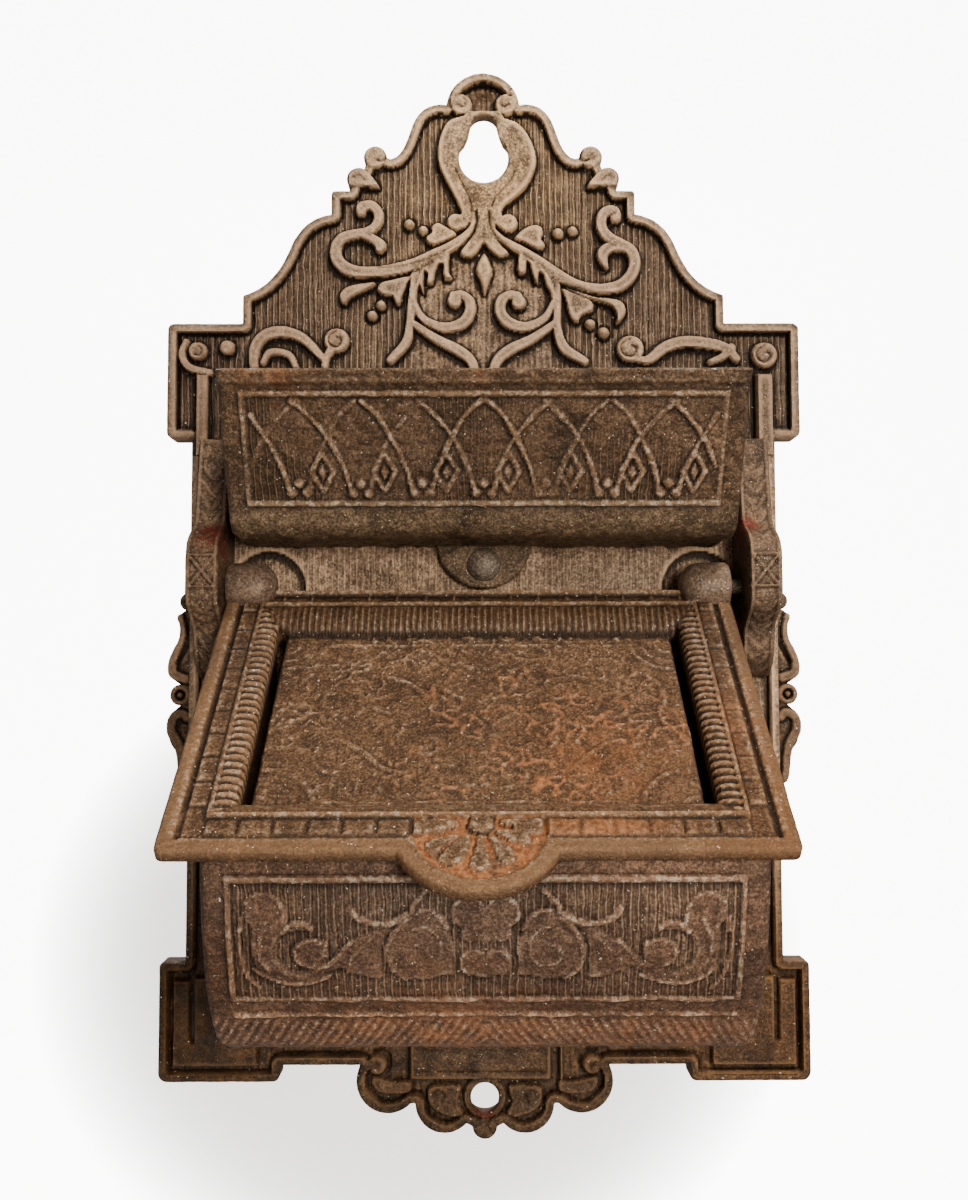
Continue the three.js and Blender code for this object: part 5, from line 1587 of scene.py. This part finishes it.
cheek_iron = iron(
    "cheek_iron", *PLATE_COLOURS, depth=0.9, crumbs=0.3, shine=1.3,
    paint_at=[((-44, -12, 10), 5), ((42.6, -10, 12), 4)],
    tone_and_painted_light_by_height=[(150, 100, (0.40, 0.365, 0.355)), (-6, -14, (0.72, 0.68, 0.64))],
    # Painted shade in the recess beside the right knuckle
    tone_and_painted_light_at=[((41.6, -9, 1), 7, (0.3, 0.27, 0.25))],
)
pocket_iron = iron(
    "pocket_iron", (0.025, 0.0122, 0.0056), (0.172, 0.096, 0.047), (0.126, 0.071, 0.036),
    between=(0.95, 0.98, 1.0),
    rust_at=[((-31, -32, 34), 8, 0.4), ((0, -32, 34), 4, 0.3)],
    tone_and_painted_light_by_height=[(33, 39, (1.38, 1.45, 1.53)), (17, 13, (1.25, 1.42, 1.52))],
    tone_and_painted_light_at=[((26, -28, 24), 16, (1.2, 1.2, 1.22)), ((-12, -28, 18), 14, (0.92, 0.93, 0.95))],
)
box_iron = iron(
    "box_iron", (0.034, 0.0158, 0.0090), (0.160, 0.083, 0.045), (0.116, 0.059, 0.032),
    crumbs=0.45, between=(1.75, 2.0, 2.1),
    rust_at=[((-6, -36, -64), 26, 0.45), ((24, -36, -64), 18, 0.4)],
    # Painted light from below on the down-facing striker strip
    tone_and_painted_light_by_height=[(-54.5, -57.5, (1.75, 1.75, 1.7))],
    tone_and_painted_light_at=[
        ((-4, -49, -41), 21, (1.15, 1.26, 1.36)),
        ((24, -49, -38), 16, (1.58, 1.62, 1.63)),
        ((-37, -47, -50), 9, (0.84, 0.74, 0.62)),
    ],
)
lid_iron = iron(
    "lid_iron", (0.036, 0.0158, 0.0066), (0.158, 0.081, 0.036), (0.113, 0.059, 0.027),
    crumbs=0.42, grainy=1.15, between=(1.9, 2.1, 2.3),
    rust_at=[((18, -40, -21), 12, 0.32), ((36, -35, -17), 13, 0.5)],
    tone_and_painted_light_at=[
        ((-10, -20, -6), 11, (1.08, 1.09, 1.11)),
        ((14, -20, -6), 11, (1.10, 1.11, 1.12)),
        ((-4, -31, -14), 15, (0.80, 0.78, 0.77)),
        ((0, -18, -4), 4, (1.1, 1.2, 1.3)),
        ((14, -38, -22), 16, (1.12, 0.98, 0.86)),
        ((-37, -22, -7), 13, (0.67, 0.67, 0.68)),
        ((38, -18, -4), 13, (0.65, 0.63, 0.63)),
        ((38, -48, -30), 14, (1.0, 0.88, 0.74)),
    ],
)
knuckle_iron = iron("knuckle_iron", (0.046, 0.028, 0.018), (0.225, 0.138, 0.083), (0.165, 0.103, 0.062),
                    (0.36, 0.55), bumpy=0.35)
rivet_iron = iron("rivet_iron", (0.045, 0.032, 0.021), (0.170, 0.122, 0.082), (0.115, 0.082, 0.055),
                  (0.36, 0.55), bumpy=0.4)

finishes = (
    (plate_iron, [plate_crest, plate_foot]),
    (cheek_iron, [*cheeks, *scrolls]),
    (pocket_iron, [pocket, lug]),
    (box_iron, [box]),
    (lid_iron, [lid]),
    (knuckle_iron, knuckles),
)
for material, things in finishes:
    for thing in things:
        thing.data.materials.append(material)
for label in ("hinge_pin_right", "hinge_pin_left", "pocket_rivet", "box_rivet_left", "box_rivet_right"):
    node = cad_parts[label]
    node.data.materials.clear()
    node.data.materials.append(rivet_iron)


# Stage, light and camera; the stage and the lights are in metres
EYE = (-0.58, -205.098, -10.133)
BACKDROP_GLOW = 9.5
# The backdrop glows less in an oval behind the part, a painted shadow of the part, given as slopes seen from
# the camera's eye
SHADE_X, SHADE_Z = -0.053, -0.242
SHADE_WIDE, SHADE_TALL = 0.317, 0.275
SHADE_LEFT = 0.06
STAGE_FRONT = -1.2
STAGE_REAR = 0.75
STAGE_FLOOR = -0.16
STAGE_TOP = 1.6
STAGE_TURN = 0.35
STAGE_HALF = 1.2


def paper():
    """White paper that glows evenly, but for the oval of painted shadow."""
    make = Shading(bpy.data.materials.new("paper"))
    shader = make.shader
    shader.inputs["Base Color"].default_value = (0.86, 0.855, 0.85, 1)
    shader.inputs["Roughness"].default_value = 0.9
    shader.inputs["Emission Color"].default_value = (1.0, 0.985, 0.97, 1)
    seen = make.nodes.new("ShaderNodeVectorMath")
    seen.operation = "SUBTRACT"
    seen.inputs[1].default_value = tuple(c * MM for c in EYE)
    make.links.new(make.place, seen.inputs[0])
    make.place = seen.outputs["Vector"]
    offsets = []
    for axis, middle, half in (("X", SHADE_X, SHADE_WIDE), ("Z", SHADE_Z, SHADE_TALL)):
        slope = make.join("DIVIDE", make.along(axis), make.along("Y"))
        offsets.append(make.join("DIVIDE", make.join("SUBTRACT", slope, middle), half))
    across, upward = offsets
    away = make.join("SQRT", make.join("ADD", make.times(across, across), make.times(upward, upward)))
    lit = make.join("POWER", make.spread(away, 0.45, 1.0), 4.0)
    glow = make.spread(lit, 0.0, 1.0, SHADE_LEFT * BACKDROP_GLOW, BACKDROP_GLOW)
    make.links.new(glow, shader.inputs["Emission Strength"])
    return make.material


def build_stage():
    """A floor that turns up into a rear wall."""
    turn = arc((STAGE_REAR - STAGE_TURN, STAGE_FLOOR + STAGE_TURN), STAGE_TURN, -90, 0, 16)
    profile = path((STAGE_FRONT, STAGE_FLOOR), turn, (STAGE_REAR, STAGE_TOP))
    points = [(x, y, z) for y, z in profile for x in (-STAGE_HALF, STAGE_HALF)]
    faces = grid_faces(numbered((len(profile), 2))).tolist()
    thing = make_mesh("stage", np.array(points) / MM, faces, turn=180.0)
    thing.data.materials.append(paper())
    thing.visible_diffuse = False
    thing.visible_glossy = False


build_stage()

world = bpy.data.worlds.new("studio")
world.use_nodes = True
background = world.node_tree.nodes["Background"]
background.inputs["Color"].default_value = (1.0, 0.99, 0.98, 1)
background.inputs["Strength"].default_value = 0.30
bpy.context.scene.world = world

# Name, place, aim, size, watts and colour
LIGHTS = (
    ("key", (0.17, -0.27, 0.55), (0, 0, 0.02), 0.12, 5.4, (1.0, 0.96, 0.90)),
    ("front", (0.20, -0.62, 0.04), (0, 0, 0), 0.22, 6.2, (1.0, 0.97, 0.93)),
    ("low", (-0.04, -0.50, -0.34), (0, 0, -0.02), 0.30, 5.8, (1.0, 0.95, 0.89)),
    ("rear", (0, 0.50, 0.62), (0, 0, 0), 0.30, 9.0, (1.0, 0.97, 0.93)),
)


def area_light(name, place, aim, size, power, colour):
    light = bpy.data.lights.new(name, "AREA")
    light.size = size
    light.energy = power
    light.color = colour
    thing = bpy.data.objects.new(name, light)
    thing.location = place
    thing.rotation_euler = (Vector(aim) - Vector(place)).to_track_quat("-Z", "Y").to_euler()
    bpy.context.scene.collection.objects.link(thing)


for light in LIGHTS:
    area_light(*light)

FOCAL_PX = 1198.795
PICTURE_TALL_PX = 1200
SENSOR_MM = 36.0


def place_camera():
    """The camera of the photograph, as fitted to it."""
    pitch, yaw, roll = 0.058, 0.003, -0.002
    forward = Vector((math.sin(yaw) * math.cos(pitch), math.cos(yaw) * math.cos(pitch), math.sin(pitch)))
    right = Vector((math.cos(yaw), -math.sin(yaw), 0))
    above = right.cross(forward)
    across = right * math.cos(roll) + above * math.sin(roll)
    above = above * math.cos(roll) - right * math.sin(roll)
    data = bpy.data.cameras.new("camera")
    data.sensor_width = SENSOR_MM
    data.lens = SENSOR_MM * FOCAL_PX / PICTURE_TALL_PX
    data.clip_start = 0.01
    camera = bpy.data.objects.new("camera", data)
    rows = Matrix((across, above, -forward)).transposed().to_4x4()
    rows.translation = Vector(EYE) * MM
    camera.matrix_world = rows
    bpy.context.scene.collection.objects.link(camera)
    bpy.context.scene.camera = camera


place_camera()
